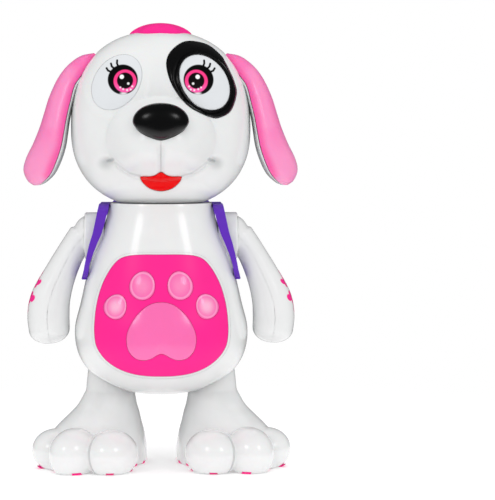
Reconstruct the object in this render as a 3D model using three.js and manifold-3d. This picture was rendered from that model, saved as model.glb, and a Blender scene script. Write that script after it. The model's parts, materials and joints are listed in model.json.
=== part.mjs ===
// A dancing robot dog: a hollow two-part head on a hollow two-part body, swinging ears, arms on ball roots,
// two legs on one hip shaft, a lit paw on the belly and a rucksack on the back.
// Millimetres. +Z is up, the dog looks along -Y, and +X is the dog's left.
// The origin is on the floor, in the middle of the dog's whole depth.
import * as THREE from "three";
import { LoftGeometry } from "three/addons/geometries/LoftGeometry.js";
import { mergeVertices } from "three/addons/utils/BufferGeometryUtils.js";
import Module from "manifold-3d";

const wasm = await Module();
wasm.setup();

// General clearances and overruns
const seatGap = 0.3;
const turnGap = 0.4;
const overlap = 1;
const overrun = 5;
const farReach = 200;
const topReach = 400;
const mergeTolerance = 1e-3;
const corners = 3;

// Head
const headCentreZ = 217.3;
const headHalfWidth = 58;
const headFrontDepth = 46;
const headRearDepth = 52;
const headRise = 62.5;
const headDrop = 52;
const headSquareness = 2.4;
const headWall = 2.4;
const headFloorWall = 2.6;
const snoutHalfWidth = 35;
const snoutHalfHeight = 27;
const snoutReach = 17;
const snoutRoundShare = 0.9;
const snoutFacingShares = [0.1, 0.5];
const snoutDrop = 7;
const cheekOffsetX = 14;
const cheekOffsetZ = 17;
const cheekRadius = 17;
const cheekReach = 4;
const lipGrooveRadius = 3;
const lipGrooveDepth = 2;

// Eyes and the ring round the left eye
const eyeX = 28;
const eyeZ = 245.7;
const eyeHalfWidth = 15.9;
const eyeHalfHeight = 17.8;
const eyeTilt = 30;
const eyeSink = 1.2;
const eyeProud = 0.5;
const patchThinBorder = 3.8;
const patchThickBorder = 6;
const patchThickPower = 3;
const patchThickAngle = 130;
const patchSink = 0.9;
const patchProud = 1;

// Nose and tongue
const noseHalfWidth = 17.5;
const noseHalfHeight = 11.7;
const noseHalfDepth = 9.5;
const noseCentreY = -60.5;
const noseZ = 221;
const nosePegRadius = 3;
const nosePegReach = 14;
const tongueHalfWidth = 13;
const tongueTopZ = 189.5;
const tongueHeight = 12;
const tongueDipShare = 0.25;
const tongueCornerShare = 0.2;
const tongueSink = 1.6;
const tongueProud = 2.2;

// Button on the crown
const buttonHalfWidth = 19;
const buttonHalfDepth = 16;
const buttonRise = 7.8;
const buttonTravel = 1.5;
const buttonRecess = 2.6;
const buttonStemRadius = 4;
const buttonStemLength = 12;
const buttonGuideWall = 2;
const buttonGuideRadius = 21;
const buttonLobes = 6;
const buttonSteps = 24;
const buttonDomeShare = 1.05;
const buttonLobeShare = 0.05;
const crownSwitchDepth = 7;

// Ears
const earPivotX = 43;
const earPivotZ = 257.5;
const earRootRadius = 6.8;
const earRootHalfWidth = 9.5;
const earPinRadius = 2;
const earPinReach = 3;
const earBossWall = 2;
const earLeverReach = 17;
const earLeverThickness = 3.6;
const earSwing = 60;
const earSeamX = [42.5, 49.6, 55, 58, 60.2, 61.8, 63.6, 66.6, 70.6, 75.6, 79];
const earSeamZ = [262, 252.2, 244.5, 233.5, 224, 215, 205.6, 196.5, 188, 182.6, 180.4];
const earCrestX = [46, 60, 66.4, 71.8, 75, 78.2, 82.3, 87.2, 89, 86.4, 82.5];
const earCrestZ = [266.2, 257.8, 249, 237.5, 227.5, 217.5, 207.5, 197.8, 190, 183.4, 180.3];
const earHalfBreadth = [9.2, 11.4, 13.4, 15.4, 17, 18.2, 19, 18.4, 15.6, 10.5, 5];
const earInnerDepth = [4.2, 3.6, 2.4, 1.7, 1.7, 2.2, 3, 3.6, 3.2, 2.2, 1];
const earRoundShare = 0.8;
const earSwingShares = [0.35, 0.7, 1];
const earNeckSections = 5;
const earShortNeckSections = 3;

// Ear drive inside the head
const camRadius = 13;
const camThickness = 4;
const camZ = 247;
const camPinOffset = 7;
const camPinRadius = 1.5;
const camPinLength = 3;
const earMotorRadius = 10.2;
const earMotorLength = 22;
const earMotorShaftRadius = 1;
const earMotorShaftReach = 2;
const earFrameWidth = 52;
const earFrameHeight = 26;
const earFrameThickness = 3;
const earFrameY = 5;
const earPostX = 20;
const earPostRadius = 3.4;

// Speaker and power switch in the rear of the head
const speakerZ = 226;
const speakerRadius = 16;
const speakerThickness = 5;
const speakerMagnetRadius = 9;
const speakerMagnetThickness = 5;
const speakerSetback = 7;
const speakerFaceY = headRearDepth - speakerSetback;
const speakerRingWall = 1.6;
const grilleSlotWidth = 1.4;
const grilleInnerRadius = 5.6;
const grilleOuterRadius = 11.6;
const grilleHalfAngle = 50;
const grilleHoleRadius = 1;
const switchZ = 194;
const switchHalfWidth = 12.5;
const switchHalfHeight = 7.5;
const switchRecess = 1.4;
const switchSurfaceShare = 0.93;
const switchPad = 2;
const switchSeatMargin = 3;
const switchTravel = 3;
const switchKnobHalfWidth = 5.2;
const switchKnobHalfHeight = 5;
const switchKnobReach = 4.6;
const switchStemHalfWidth = 1.6;
const switchStemHalfHeight = 1.4;
const switchKnobEggShare = 0.3;
const switchBodyHalfWidth = 9;
const switchBodyHalfHeight = 4;
const switchBodyDepth = 5;

// Neck
const neckZ = 169;
const spindleRadius = 8;
const spindleFlangeRadius = 13;
const spindleFlangeThickness = 2.6;
const spindleBore = 4;

// Body
const bodyBottomZ = 44.6;
const bellyZ = 85.7;
const bellyHalfWidth = 56.1;
const ribHalfWidth = 52;
const ribZ = 105.4;
const waistHalfWidth = 44.2;
const waistZ = 131.5;
const shoulderHalfWidth = 35.6;
const shoulderZ = 158.5;
const neckHalfWidth = 32.8;
const bodyFirstAngle = 12;
const bodyDepthShare = 0.91;
const bodySquareness = 2.3;
const bodyUndersideSquareness = 2.28;
const bodyWall = 2.6;

// Belly panel and paw
const panelTopZ = 137.4;
const panelBottomZ = 60.6;
const panelHalfWidth = 42.4;
const panelProud = 0.7;
const panelWidthShares = [0, 0.4, 0.6, 0.74, 0.85, 0.94, 1, 0.98, 0.91, 0.78, 0.56, 0.28, 0];
const panelHeightShares = [1, 1, 0.975, 0.915, 0.815, 0.7, 0.435, 0.32, 0.22, 0.125, 0.045, 0.005, 0];
const pawProud = 2.2;
const pawBaseDepth = 1.9;
const pawBaseMargin = 3;
const padHalfWidth = 22;
const padTopZ = 108;
const padBottomZ = 71.4;
const padWidthShares = [0, 0.36, 0.7, 0.93, 1, 0.94, 0.76, 0.52, 0.3, 0.13, 0];
const padHeightShares = [1, 0.95, 0.78, 0.55, 0.36, 0.17, 0.04, 0, 0.03, 0.09, 0.115];
const innerToeX = 11.8;
const innerToeZ = 118.3;
const innerToeHalfWidth = 8.1;
const innerToeHalfHeight = 9.1;
const outerToeX = 28.7;
const outerToeZ = 105;
const outerToeHalfWidth = 7.1;
const outerToeHalfHeight = 8.1;
const innerToeTilt = 14;
const innerToeEggShare = 0.1;
const outerToeTilt = 28;
const outerToeEggShare = 0.16;
const lampPostX = 15;
const lampPostRadius = 2;
const lampBoardY = -36;
const lampBoardWidth = 42;
const lampBoardHeight = 30;
const lampBoardThickness = 1.6;
const lampZ = 93;

// Shoulders and arms
const armPivotX = 50;
const armPivotZ = 147.5;
const cupRadius = 15.2;
const cupWall = 1.5;
const cupRimX = 49.5;
const cupBackX = 36.8;
const cupFloorWall = 1.7;
const hubRadius = 6;
const hubFlangeRadius = 8.6;
const hubFlangeThickness = 2.2;
const shoulderBossWall = 2.8;
const shoulderBossRadius = 17.4;
const armPinRadius = 1.6;
const armPinSetback = 3.4;
const armPinInset = 0.6;
const armLift = 50;
const armLiftShares = [0.8, 1];
const armSpineX = [50.5, 58, 66.4, 71.4, 73.1, 72.4, 70.6];
const armSpineZ = [146.8, 139.5, 124.5, 108.5, 96, 85.2, 78];
const armHalfThickness = [12.3, 12.6, 11.9, 12.2, 13.6, 12.8, 6];
const armHalfBreadth = [12, 12.6, 13, 14.6, 16.2, 14.8, 6.5];
const armWall = 2.4;
const armSquareness = 2.2;
const armSplitRiseShare = 0.25;

// Hips, legs and soles
const hipX = 33;
const hipZ = 64;
const hipShaftRadius = 3;
const legRadius = 14.6;
const legTopRise = 12;
const legShoulderDrop = 2;
const legCapAngle = 80;
const legCapSteps = 3;
const legBoreWall = 3.6;
const legWall = 2.4;
const legOpeningHalfWidth = 16.8;
const legOpeningHalfDepth = 21.5;
const footTurn = 32;
const footHeights = [0, 9, 18, 26, 32, 38, 47];
const footHalfLengths = [38, 42, 41, 35.5, 28, 20, 15.2];
const footHalfWidths = [29, 32.5, 31.5, 26.5, 22, 18, 15];
const footCentres = [13.5, 14, 12.5, 9.5, 6, 3, 0.5];
const footOutShare = 0.25;
const footSquareness = 2.3;
const toeForward = [35.5, 48.5, 40];
const toeAcross = [-25, -3.6, 18.3];
const toeHalfLength = [18.5, 18.5, 16];
const toeHalfWidth = [16.5, 15, 14.5];
const toeZ = 11.5;
const toeRise = [15, 16.5, 14];
const toeSteps = 12;
const toeRowSteps = 8;
const footHollowTopZ = 36;
const soleThickness = 2;
const soleInset = 2.9;
const soleBarCount = 7;
const soleTabWidth = 5;
const soleTabHeight = 1.4;

// Drive inside the body
const gearboxHalfWidth = 14.5;
const gearboxHalfDepth = 14;
const gearboxBottomZ = 55;
const gearboxTopZ = 106;
const gearboxWall = 2.2;
const gearboxSeatHalfWidth = 10;
const crankZ = 80;
const gearTeeth = 16;
const pinionTeeth = 8;
const toothArc = 4.08;
const toothAddendum = 0.8;
const toothDedendum = 1;
const toothTipShare = 0.16;
const toothRootShare = 0.27;
const meshSlack = 0.05;
const crankThickness = 4;
const crankShaftRadius = 1.5;
const crankPinOffset = 4;
const crankPinRadius = 1.2;
const crankPinLength = 2;
const crankShaftGap = 0.2;
const motorRadius = 10;
const motorLength = 24;

// Battery
const cellRadius = 7.1;
const cellLength = 50.2;
const cellPitch = 14.6;
const cellCount = 3;
const batteryZ = 90;
const batteryWall = 1.8;
const batteryBackY = 31;
const batteryDepth = 17;
const cellNubShare = 0.33;
const coverSideMargin = 3.9;
const coverHalfWidth = cellLength / 2 + coverSideMargin;
const coverBottomZ = 56.5;
const coverTopZ = 110.5;
const coverCorner = 5;
const coverThickness = 2.2;
const coverRibWidth = 4;
const coverRibInset = 1.5;
const coverRibDepth = 14;
const batteryRibHalfWidth = 4;
const batteryRibThickness = 3;
const tailZ = 83;
const tailHeight = 33;
const tailWidth = 9.5;
const tailProud = 6.5;
const coverScrewX = -19;
const coverScrewZ = 61;
const coverScrewSeatY = 30;
const coverTubeWall = 1.4;
const coverTubeFloor = 1.6;
const coverScrewLength = 7;
const coverBossHalfWidth = 3.4;

// Rucksack
const packHalfWidth = 36;
const packBottomZ = 108.5;
const packTopZ = 171.5;
const packRearY = 57;
const packCorner = 12;
const packWall = 2.2;
const packRearRound = 5;
const packRearSteps = 2;
const packFrontY = 12;
const packStepY = 33;
const packStep = 4.5;
const packNeckCorner = 4;
const flapHalfWidth = 28.5;
const flapBottomZ = 114;
const flapTopZ = 166;
const flapCorner = 12;
const flapThickness = 2.6;
const boneHalfWidth = 22;
const boneZ = 131;
const boneKnobRadius = 6.4;
const boneKnobZ = 6;
const boneKnobInsetShare = 0.4;
const boneThickness = 1.8;
const boneShankAngle = 27;
const boneNotchAngle = 45;
const strapThickness = 2.6;
const strapFrontY = -20.8;
const strapWidth = 7;
const strapTopZ = 168.3;
const strapBottomZ = 119.8;
const strapCorner = 14;
const strapHeights = [116, 121, 131.5, 142.6, 151, 164, 170];
const strapInnerX = [49.5, 48.4, 44.6, 40, 37.5, 34.2, 33];
const strapOuterX = [51.5, 50.6, 48.6, 46, 43.5, 40.8, 39.6];

// Screws
const screwHeadRadius = 2.7;
const screwHeadHeight = 2;
const screwShankRadius = 1.4;
const screwSeatY = 9;
const screwTipY = -8;
const screwBossRadius = 4.4;
const screwBossFrontY = -11;
const screwTipRoom = 1;
const headScrewTopX = 24;
const headScrewTopZ = 266;
const headScrewLowX = 40;
const headScrewLowZ = 203;
const bodyScrewHighX = 25;
const bodyScrewHighZ = 157;
const bodyScrewLowX = 45;
const bodyScrewLowZ = 92;

// Facets
const roundSteps = 10;
const smallSteps = 7;
const domeSteps = 14;
const padSteps = 13;
const wideSteps = 16;
const bodySteps = 24;
const bodyLowSteps = 5;
const bodyHighSteps = 5;
const headSteps = 22;
const headRowSteps = 14;
const patchSteps = 24;
const fineCorner = 3;
const limbSteps = 10;
const footSteps = 16;

// Colours and finishes of the pieces
const finishes = {
  white: { color: 0xf1f2f3, roughness: 0.22, metalness: 0 },
  eyeWhite: { color: 0xe9e9ee, roughness: 0.15, metalness: 0 },
  black: { color: 0x0b0b0d, roughness: 0.12, metalness: 0 },
  red: { color: 0xe0201c, roughness: 0.15, metalness: 0 },
  pink: { color: 0xff2e92, roughness: 0.3, metalness: 0 },
  lightPink: { color: 0xff7db8, roughness: 0.18, metalness: 0 },
  purple: { color: 0x5a22c8, roughness: 0.3, metalness: 0 },
  steel: { color: 0x9a9ca0, roughness: 0.35, metalness: 1 },
  grey: { color: 0x6d7076, roughness: 0.5, metalness: 0 },
  darkGrey: { color: 0x2a2b2e, roughness: 0.6, metalness: 0 },
  green: { color: 0x1f6b3a, roughness: 0.5, metalness: 0 },
  brass: { color: 0xc7a24a, roughness: 0.35, metalness: 0.9 },
};

const radians = THREE.MathUtils.degToRad;
const signedPower = (value, power) => Math.sign(value) * Math.abs(value) ** power;
const mirrored = (solid) => solid.mirror([1, 0, 0]);
const sides = [
  ["left", 1],
  ["right", -1],
];

// Solids from geometry and back

function toSolid(geometry) {
  const plain = geometry.index ? geometry.toNonIndexed() : geometry.clone();
  plain.deleteAttribute("normal");
  plain.deleteAttribute("uv");
  const merged = mergeVertices(plain, mergeTolerance);
  const index = merged.index.array;
  const faces = [];
  for (let i = 0; i < index.length; i += corners) {
    const [a, b, c] = index.subarray(i, i + corners);
    if (a !== b && b !== c && c !== a) faces.push([a, b, c]);
  }
  const vertProperties = merged.attributes.position.array;
  const built = (list) => {
    const triVerts = new Uint32Array(list.flat());
    return new wasm.Manifold(new wasm.Mesh({ numProp: corners, vertProperties, triVerts }));
  };
  const solid = built(faces);
  return solid.volume() > 0 ? solid : built(faces.map((face) => face.reverse()));
}

function toGeometry(solid) {
  const mesh = solid.getMesh();
  const points = new Float32Array(mesh.numVert * corners);
  for (let i = 0; i < mesh.numVert; i++) {
    const start = i * mesh.numProp;
    points.set(mesh.vertProperties.subarray(start, start + corners), i * corners);
  }
  return new THREE.BufferGeometry()
    .setAttribute("position", new THREE.BufferAttribute(points, corners))
    .setIndex(new THREE.BufferAttribute(new Uint32Array(mesh.triVerts), 1));
}

const union = (...solids) => solids.reduce((sum, solid) => sum.add(solid));
const cut = (solid, ...tools) => tools.reduce((rest, tool) => rest.subtract(tool), solid);

// Basic shapes: boxes by their limits, cylinders along an axis, and prisms along Y, X or Z

function box(x0, x1, y0, y1, z0, z1) {
  const shape = new THREE.BoxGeometry(x1 - x0, y1 - y0, z1 - z0);
  return toSolid(shape.translate((x0 + x1) / 2, (y0 + y1) / 2, (z0 + z1) / 2));
}

function cylinderY(radius, y0, y1, x = 0, z = 0, steps = roundSteps) {
  const shape = new THREE.CylinderGeometry(radius, radius, y1 - y0, steps);
  return toSolid(shape.translate(x, (y0 + y1) / 2, z));
}

function cylinderX(radius, x0, x1, y = 0, z = 0, steps = roundSteps) {
  const shape = new THREE.CylinderGeometry(radius, radius, x1 - x0, steps).rotateZ(Math.PI / 2);
  return toSolid(shape.translate((x0 + x1) / 2, y, z));
}

function cylinderZ(radius, z0, z1, x = 0, y = 0, steps = roundSteps) {
  const shape = new THREE.CylinderGeometry(radius, radius, z1 - z0, steps).rotateX(Math.PI / 2);
  return toSolid(shape.translate(x, y, (z0 + z1) / 2));
}

function latheZ(points, x = 0, y = 0, steps = roundSteps) {
  const profile = points.map(([r, z]) => new THREE.Vector2(r, z));
  return toSolid(new THREE.LatheGeometry(profile, steps).rotateX(Math.PI / 2).translate(x, y, 0));
}

const extruded = (shape, depth, curveSegments) =>
  new THREE.ExtrudeGeometry(shape, { depth, bevelEnabled: false, curveSegments });

// A capped loft, whichever way round its rings are listed
function loft(sections) {
  const [first, second] = sections;
  const middle = (ring) => ring.reduce((sum, p) => sum.add(p), new THREE.Vector3()).divideScalar(ring.length);
  const start = middle(first);
  const run = middle(second).sub(start);
  const turn = new THREE.Vector3();
  first.forEach((p, i) => {
    const next = first[(i + 1) % first.length];
    turn.add(p.clone().sub(start).cross(next.clone().sub(start)));
  });
  const rings = turn.dot(run) > 0 ? sections : sections.map((ring) => [...ring].reverse());
  return toSolid(new LoftGeometry(rings, { capStart: true, capEnd: true }));
}

// The outline's x and y become the part's X and Z, and the prism runs from yFront to yRear.
function prismY(shape, yFront, yRear, curveSegments = smallSteps) {
  const geometry = extruded(shape, yRear - yFront, curveSegments);
  return toSolid(geometry.rotateX(Math.PI / 2).translate(0, yRear, 0));
}

// The outline's x and y become the part's Y and Z.
function prismX(shape, x0, x1, curveSegments = smallSteps) {
  const axes = new THREE.Matrix4().makeBasis(
    new THREE.Vector3(0, 1, 0),
    new THREE.Vector3(0, 0, 1),
    new THREE.Vector3(1, 0, 0),
  );
  return toSolid(extruded(shape, x1 - x0, curveSegments).applyMatrix4(axes).translate(x0, 0, 0));
}

function prismZ(shape, z0, z1, curveSegments = smallSteps) {
  return toSolid(extruded(shape, z1 - z0, curveSegments).translate(0, 0, z0));
}

const outlineOf = (points) => new THREE.Shape(points.map(([x, y]) => new THREE.Vector2(x, y)));

function ovalOutline(cx, cz, halfWidth, halfHeight, tilt = 0, steps = wideSteps, egg = 0) {
  const points = [];
  for (let i = 0; i < steps; i++) {
    const angle = (2 * Math.PI * i) / steps;
    const u = halfWidth * Math.cos(angle) * (1 - egg * Math.sin(angle));
    const v = halfHeight * Math.sin(angle);
    const turn = radians(tilt);
    points.push([cx + u * Math.cos(turn) - v * Math.sin(turn), cz + u * Math.sin(turn) + v * Math.cos(turn)]);
  }
  return outlineOf(points);
}

function roundedOutline(x0, x1, z0, z1, corner) {
  const shape = new THREE.Shape();
  const quarter = Math.PI / 2;
  shape.absarc(x1 - corner, z1 - corner, corner, 0, quarter);
  shape.absarc(x0 + corner, z1 - corner, corner, quarter, Math.PI);
  shape.absarc(x0 + corner, z0 + corner, corner, Math.PI, Math.PI + quarter);
  shape.absarc(x1 - corner, z0 + corner, corner, Math.PI + quarter, 2 * Math.PI);
  return shape;
}

// A left-right even outline from shares of a half width and of a height, grown by a margin all round.
function evenOutline(widthShares, heightShares, halfWidth, z0, z1, steps, margin = 0) {
  const middle = (z0 + z1) / 2;
  const half = widthShares.map((share, i) => {
    const z = z0 + (z1 - z0) * heightShares[i];
    const tall = 1 + margin / ((z1 - z0) / 2);
    return new THREE.Vector2(share * (halfWidth + margin), middle + (z - middle) * tall);
  });
  const points = new THREE.SplineCurve(half).getPoints(steps);
  const back = points.slice(1, -1).reverse();
  const all = [...points.map((p) => [p.x, p.y]), ...back.map((p) => [-p.x, p.y])];
  return outlineOf(all);
}

// Head surface

function snoutLift(x, z) {
  const down = z + snoutDrop;
  const dome = Math.max(0, 1 - (x / snoutHalfWidth) ** 2 - (down / snoutHalfHeight) ** 2);
  const cheekX = (Math.abs(x) - cheekOffsetX) / cheekRadius;
  const cheek = Math.exp(-2 * (cheekX ** 2 + ((z + cheekOffsetZ) / cheekRadius) ** 2));
  const lower = THREE.MathUtils.smoothstep(-z, 0, snoutDrop) * Math.min(1, 2 * dome);
  const groove = Math.exp(-((x / lipGrooveRadius) ** 2)) * lower;
  return snoutReach * dome ** snoutRoundShare + cheekReach * cheek - lipGrooveDepth * groove;
}

const headSolids = new Map();
function headSolid(grow) {
  if (headSolids.has(grow)) return headSolids.get(grow);
  const ball = new THREE.SphereGeometry(1, headSteps, headRowSteps);
  const position = ball.attributes.position;
  const n = headSquareness;
  for (let i = 0; i < position.count; i++) {
    const [dx, dy, dz] = [position.getX(i), position.getY(i), position.getZ(i)];
    const depth = (dy < 0 ? headFrontDepth : headRearDepth) + grow;
    const height = (dz < 0 ? headDrop : headRise) + grow;
    const shares = [dx / (headHalfWidth + grow), dy / depth, dz / height];
    const reach = shares.reduce((sum, share) => sum + Math.abs(share) ** n, 0) ** (-1 / n);
    const [x, y, z] = [dx * reach, dy * reach, dz * reach];
    const facing = THREE.MathUtils.smoothstep(-dy, ...snoutFacingShares);
    position.setXYZ(i, x, y - facing * snoutLift(x, z), z + headCentreZ);
  }
  const solid = toSolid(ball);
  headSolids.set(grow, solid);
  return solid;
}

const headLayer = (from, to) => headSolid(to).subtract(headSolid(from));

// Body surface

function bodyProfile(grow) {
  const rings = [];
  const drop = bellyZ - bodyBottomZ + grow;
  const power = 2 / bodyUndersideSquareness;
  const first = radians(bodyFirstAngle);
  for (let i = 0; i < bodyLowSteps; i++) {
    const angle = first + ((Math.PI / 2 - first) * i) / bodyLowSteps;
    const half = (bellyHalfWidth + grow) * Math.sin(angle) ** power;
    rings.push([half, bellyZ - drop * Math.cos(angle) ** power]);
  }
  const spline = new THREE.SplineCurve(
    [
      [bellyHalfWidth, bellyZ],
      [ribHalfWidth, ribZ],
      [waistHalfWidth, waistZ],
      [shoulderHalfWidth, shoulderZ],
      [neckHalfWidth, neckZ],
    ].map(([x, z]) => new THREE.Vector2(x, z)),
  );
  for (const p of spline.getPoints(bodyHighSteps)) rings.push([p.x + grow, p.y]);
  rings[rings.length - 1][1] += Math.max(0, grow);
  return rings;
}

const bodySolids = new Map();
function bodySolid(grow) {
  if (bodySolids.has(grow)) return bodySolids.get(grow);
  const power = 2 / bodySquareness;
  const sections = bodyProfile(grow).map(([half, z]) => {
    const rise = THREE.MathUtils.smoothstep(z, waistZ, neckZ);
    const share = bodyDepthShare + (1 - bodyDepthShare) * rise;
    const ring = [];
    for (let j = 0; j < bodySteps; j++) {
      const angle = (2 * Math.PI * j) / bodySteps;
      const x = half * signedPower(Math.cos(angle), power);
      ring.push(new THREE.Vector3(x, half * share * signedPower(Math.sin(angle), power), z));
    }
    return ring;
  });
  const solid = loft(sections);
  bodySolids.set(grow, solid);
  return solid;
}

const bodyLayer = (from, to) => bodySolid(to).subtract(bodySolid(from));

const slab = (y0, y1, z0) => box(-farReach, farReach, y0, y1, z0, topReach);
const frontHalf = (solid) => solid.intersect(slab(-farReach, -seatGap / 2, -farReach));
const rearHalf = (solid) => solid.intersect(slab(seatGap / 2, farReach, -farReach));
const above = (solid, z) => solid.intersect(slab(-farReach, farReach, z));
const rightOf = (x) => box(x, farReach, -farReach, farReach, -farReach, topReach);

// Screws and their bosses, all along Y

const headScrewPlaces = [
  [headScrewTopX, headScrewTopZ],
  [-headScrewTopX, headScrewTopZ],
  [headScrewLowX, headScrewLowZ],
  [-headScrewLowX, headScrewLowZ],
];
const bodyScrewPlaces = [
  [bodyScrewHighX, bodyScrewHighZ],
  [-bodyScrewHighX, bodyScrewHighZ],
  [bodyScrewLowX, bodyScrewLowZ],
  [-bodyScrewLowX, bodyScrewLowZ],
];

function screw(x, z, seatY = screwSeatY, tipY = screwTipY) {
  return union(
    cylinderY(screwHeadRadius, seatY, seatY + screwHeadHeight, x, z, smallSteps),
    cylinderY(screwShankRadius, tipY, seatY + screwHeadHeight / 2, x, z, smallSteps),
  );
}

function screwBosses(places, within) {
  const post = ([x, z]) => cylinderY(screwBossRadius, screwBossFrontY, farReach, x, z, smallSteps);
  return union(...places.map(post)).intersect(within);
}

function screwBores(places) {
  const bores = places.map(([x, z]) =>
    union(
      cylinderY(screwHeadRadius + seatGap, screwSeatY - seatGap, farReach, x, z, smallSteps),
      cylinderY(screwShankRadius + seatGap, screwTipY - screwTipRoom, screwSeatY, x, z, smallSteps),
    ),
  );
  return union(...bores);
}

// Ear: an outer and an inner shell along one curved spine, on a round root with two pins

function earSection(i, side) {
  const seam = new THREE.Vector2(earSeamX[i], earSeamZ[i]);
  const out = new THREE.Vector2(earCrestX[i], earCrestZ[i]).sub(seam);
  const depth = side > 0 ? out.length() : earInnerDepth[i];
  out.normalize();
  const ring = [];
  for (let j = 0; j < limbSteps; j++) {
    const angle = (Math.PI * j) / (limbSteps - 1);
    const lift = side * (depth * Math.sin(angle) ** earRoundShare + seatGap / 2);
    const at = seam.clone().addScaledVector(out, lift);
    ring.push(new THREE.Vector3(at.x, earHalfBreadth[i] * Math.cos(angle), at.y));
  }
  return ring;
}

const earHalf = (side) => loft(earSeamX.map((_, i) => earSection(i, side)));

function earRoot() {
  const reach = earRootHalfWidth + earPinReach;
  const half = earLeverThickness / 2;
  const leverEnd = earPivotX - earLeverReach;
  const lever = box(leverEnd, earPivotX, -half, half, earPivotZ - earLeverThickness, earPivotZ);
  return union(
    cylinderY(earRootRadius, -earRootHalfWidth, earRootHalfWidth, earPivotX, earPivotZ, wideSteps),
    cylinderY(earPinRadius, -reach, reach, earPivotX, earPivotZ, smallSteps),
    lever,
  );
}

function earPieces() {
  const clearRoot = cylinderY(earRootRadius + seatGap, -farReach, farReach, earPivotX, earPivotZ, wideSteps);
  const outer = largest(cut(earHalf(1), clearRoot));
  const inner = union(earHalf(-1), earRoot());
  return { outer, inner: largest(cut(inner, outer)) };
}

function largest(solid) {
  return solid.decompose().reduce((best, piece) => (piece.volume() > best.volume() ? piece : best));
}

// The room that the ear needs in the head wall over its whole swing
function earRoom() {
  const [x, z, wide] = [earPivotX, earPivotZ, earRootHalfWidth + seatGap];
  const pinEnd = wide + earPinReach;
  const side = earLeverThickness;
  const pocket = cylinderY(earRootRadius + turnGap, -wide, wide, x, z, wideSteps);
  const pins = cylinderY(earPinRadius + seatGap, -pinEnd, pinEnd, x, z, smallSteps);
  const leverRoom = box(x - earLeverReach, x, -side, side, z - earLeverReach, z + turnGap);
  const neck = earNeck(turnGap, earShortNeckSections);
  const swept = earSwingShares.map((share) => turnedAboutY(neck, share * earSwing, x, z));
  return { pocket, pins, leverRoom, swept: union(earNeck(turnGap, earNeckSections), ...swept) };
}

// The first stretch of the whole ear, both shells together, grown by a margin
function earNeck(margin, count) {
  const sections = Array.from({ length: count }, (_, i) => {
    const ring = [...earSection(i, 1), ...earSection(i, -1).reverse()];
    const middle = new THREE.Vector3(earSeamX[i], 0, earSeamZ[i]);
    return ring.map((p) => {
      const arm = p.clone().sub(middle);
      return middle.clone().add(arm.setLength(arm.length() + margin));
    });
  });
  return loft(sections);
}

// Turning about Y by a positive angle lifts what hangs on the +X side.
function turnedAboutY(solid, degrees, x, z) {
  return solid.translate([-x, 0, -z]).rotate([0, -degrees, 0]).translate([x, 0, z]);
}

const ear = earPieces();
const room = earRoom();

function earBosses() {
  const reach = earRootHalfWidth + earPinReach + earBossWall;
  const one = cylinderY(earRootRadius + earBossWall, -reach, reach, earPivotX, earPivotZ, wideSteps);
  return one.add(mirrored(one)).intersect(headSolid(0));
}

// Head shells

const headBottomZ = neckZ + turnGap;
const headCavity = () => above(headSolid(-headWall), headBottomZ + headFloorWall);

function eyeOutline(side, margin = 0) {
  return ovalOutline(side * eyeX, eyeZ, eyeHalfWidth + margin, eyeHalfHeight + margin, side * eyeTilt);
}

function patchOutline(margin = 0) {
  const points = [];
  for (let i = 0; i < patchSteps; i++) {
    const angle = (2 * Math.PI * i) / patchSteps;
    const toThick = (angle - radians(patchThickAngle)) / 2;
    const thick = Math.abs(Math.cos(toThick)) ** patchThickPower;
    const border = patchThinBorder + patchThickBorder * thick + margin;
    const radius = (eyeHalfWidth + eyeHalfHeight) / 2 + border;
    points.push([eyeX + radius * Math.cos(angle), eyeZ + radius * Math.sin(angle)]);
  }
  return outlineOf(points);
}

const facePrism = (outline) => prismY(outline, -farReach, -seatGap);
const rearPrism = (outline) => prismY(outline, seatGap, farReach, fineCorner);

function tongueOutline(margin = 0) {
  const w = tongueHalfWidth + margin;
  const top = tongueTopZ + margin;
  const low = tongueTopZ - tongueHeight - margin;
  const [dip, corner] = [top - tongueHeight * tongueDipShare, top - tongueHeight * tongueCornerShare];
  const swell = low + tongueHeight * tongueDipShare;
  const shape = new THREE.Shape();
  shape.moveTo(0, top);
  shape.quadraticCurveTo(-w / 2, dip, -w, corner);
  shape.bezierCurveTo(-w, swell, -w / 2, low, 0, low);
  shape.bezierCurveTo(w / 2, low, w, swell, w, corner);
  shape.quadraticCurveTo(w / 2, dip, 0, top);
  return shape;
}

function noseSolid(grow) {
  const ball = new THREE.SphereGeometry(1, wideSteps, roundSteps);
  ball.scale(noseHalfWidth + grow, noseHalfDepth + grow, noseHalfHeight + grow);
  return toSolid(ball.translate(0, noseCentreY, noseZ));
}

function nosePeg(grow) {
  const end = noseCentreY + nosePegReach;
  return cylinderY(nosePegRadius + grow, noseCentreY, end, 0, noseZ, smallSteps);
}

function buttonOutline(margin = 0) {
  const points = [];
  for (let i = 0; i < buttonSteps; i++) {
    const angle = (2 * Math.PI * i) / buttonSteps;
    const lobe = 1 + buttonLobeShare * Math.cos(buttonLobes * angle);
    points.push([
      (buttonHalfWidth + margin) * lobe * Math.cos(angle),
      (buttonHalfDepth + margin) * lobe * Math.sin(angle),
    ]);
  }
  return outlineOf(points);
}

const crownZ = headCentreZ + headRise;
const buttonFloorZ = crownZ - buttonRecess;
const buttonRecessZ = buttonFloorZ - buttonTravel - seatGap;

function headOpenings() {
  const recess = prismZ(buttonOutline(seatGap), buttonRecessZ, topReach);
  const stem = cylinderZ(buttonStemRadius + seatGap, buttonFloorZ - buttonStemLength, topReach);
  const spindle = cylinderZ(spindleRadius + seatGap, 0, neckZ + headFloorWall + overrun, 0, 0, wideSteps);
  return union(recess, stem, spindle);
}

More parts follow.
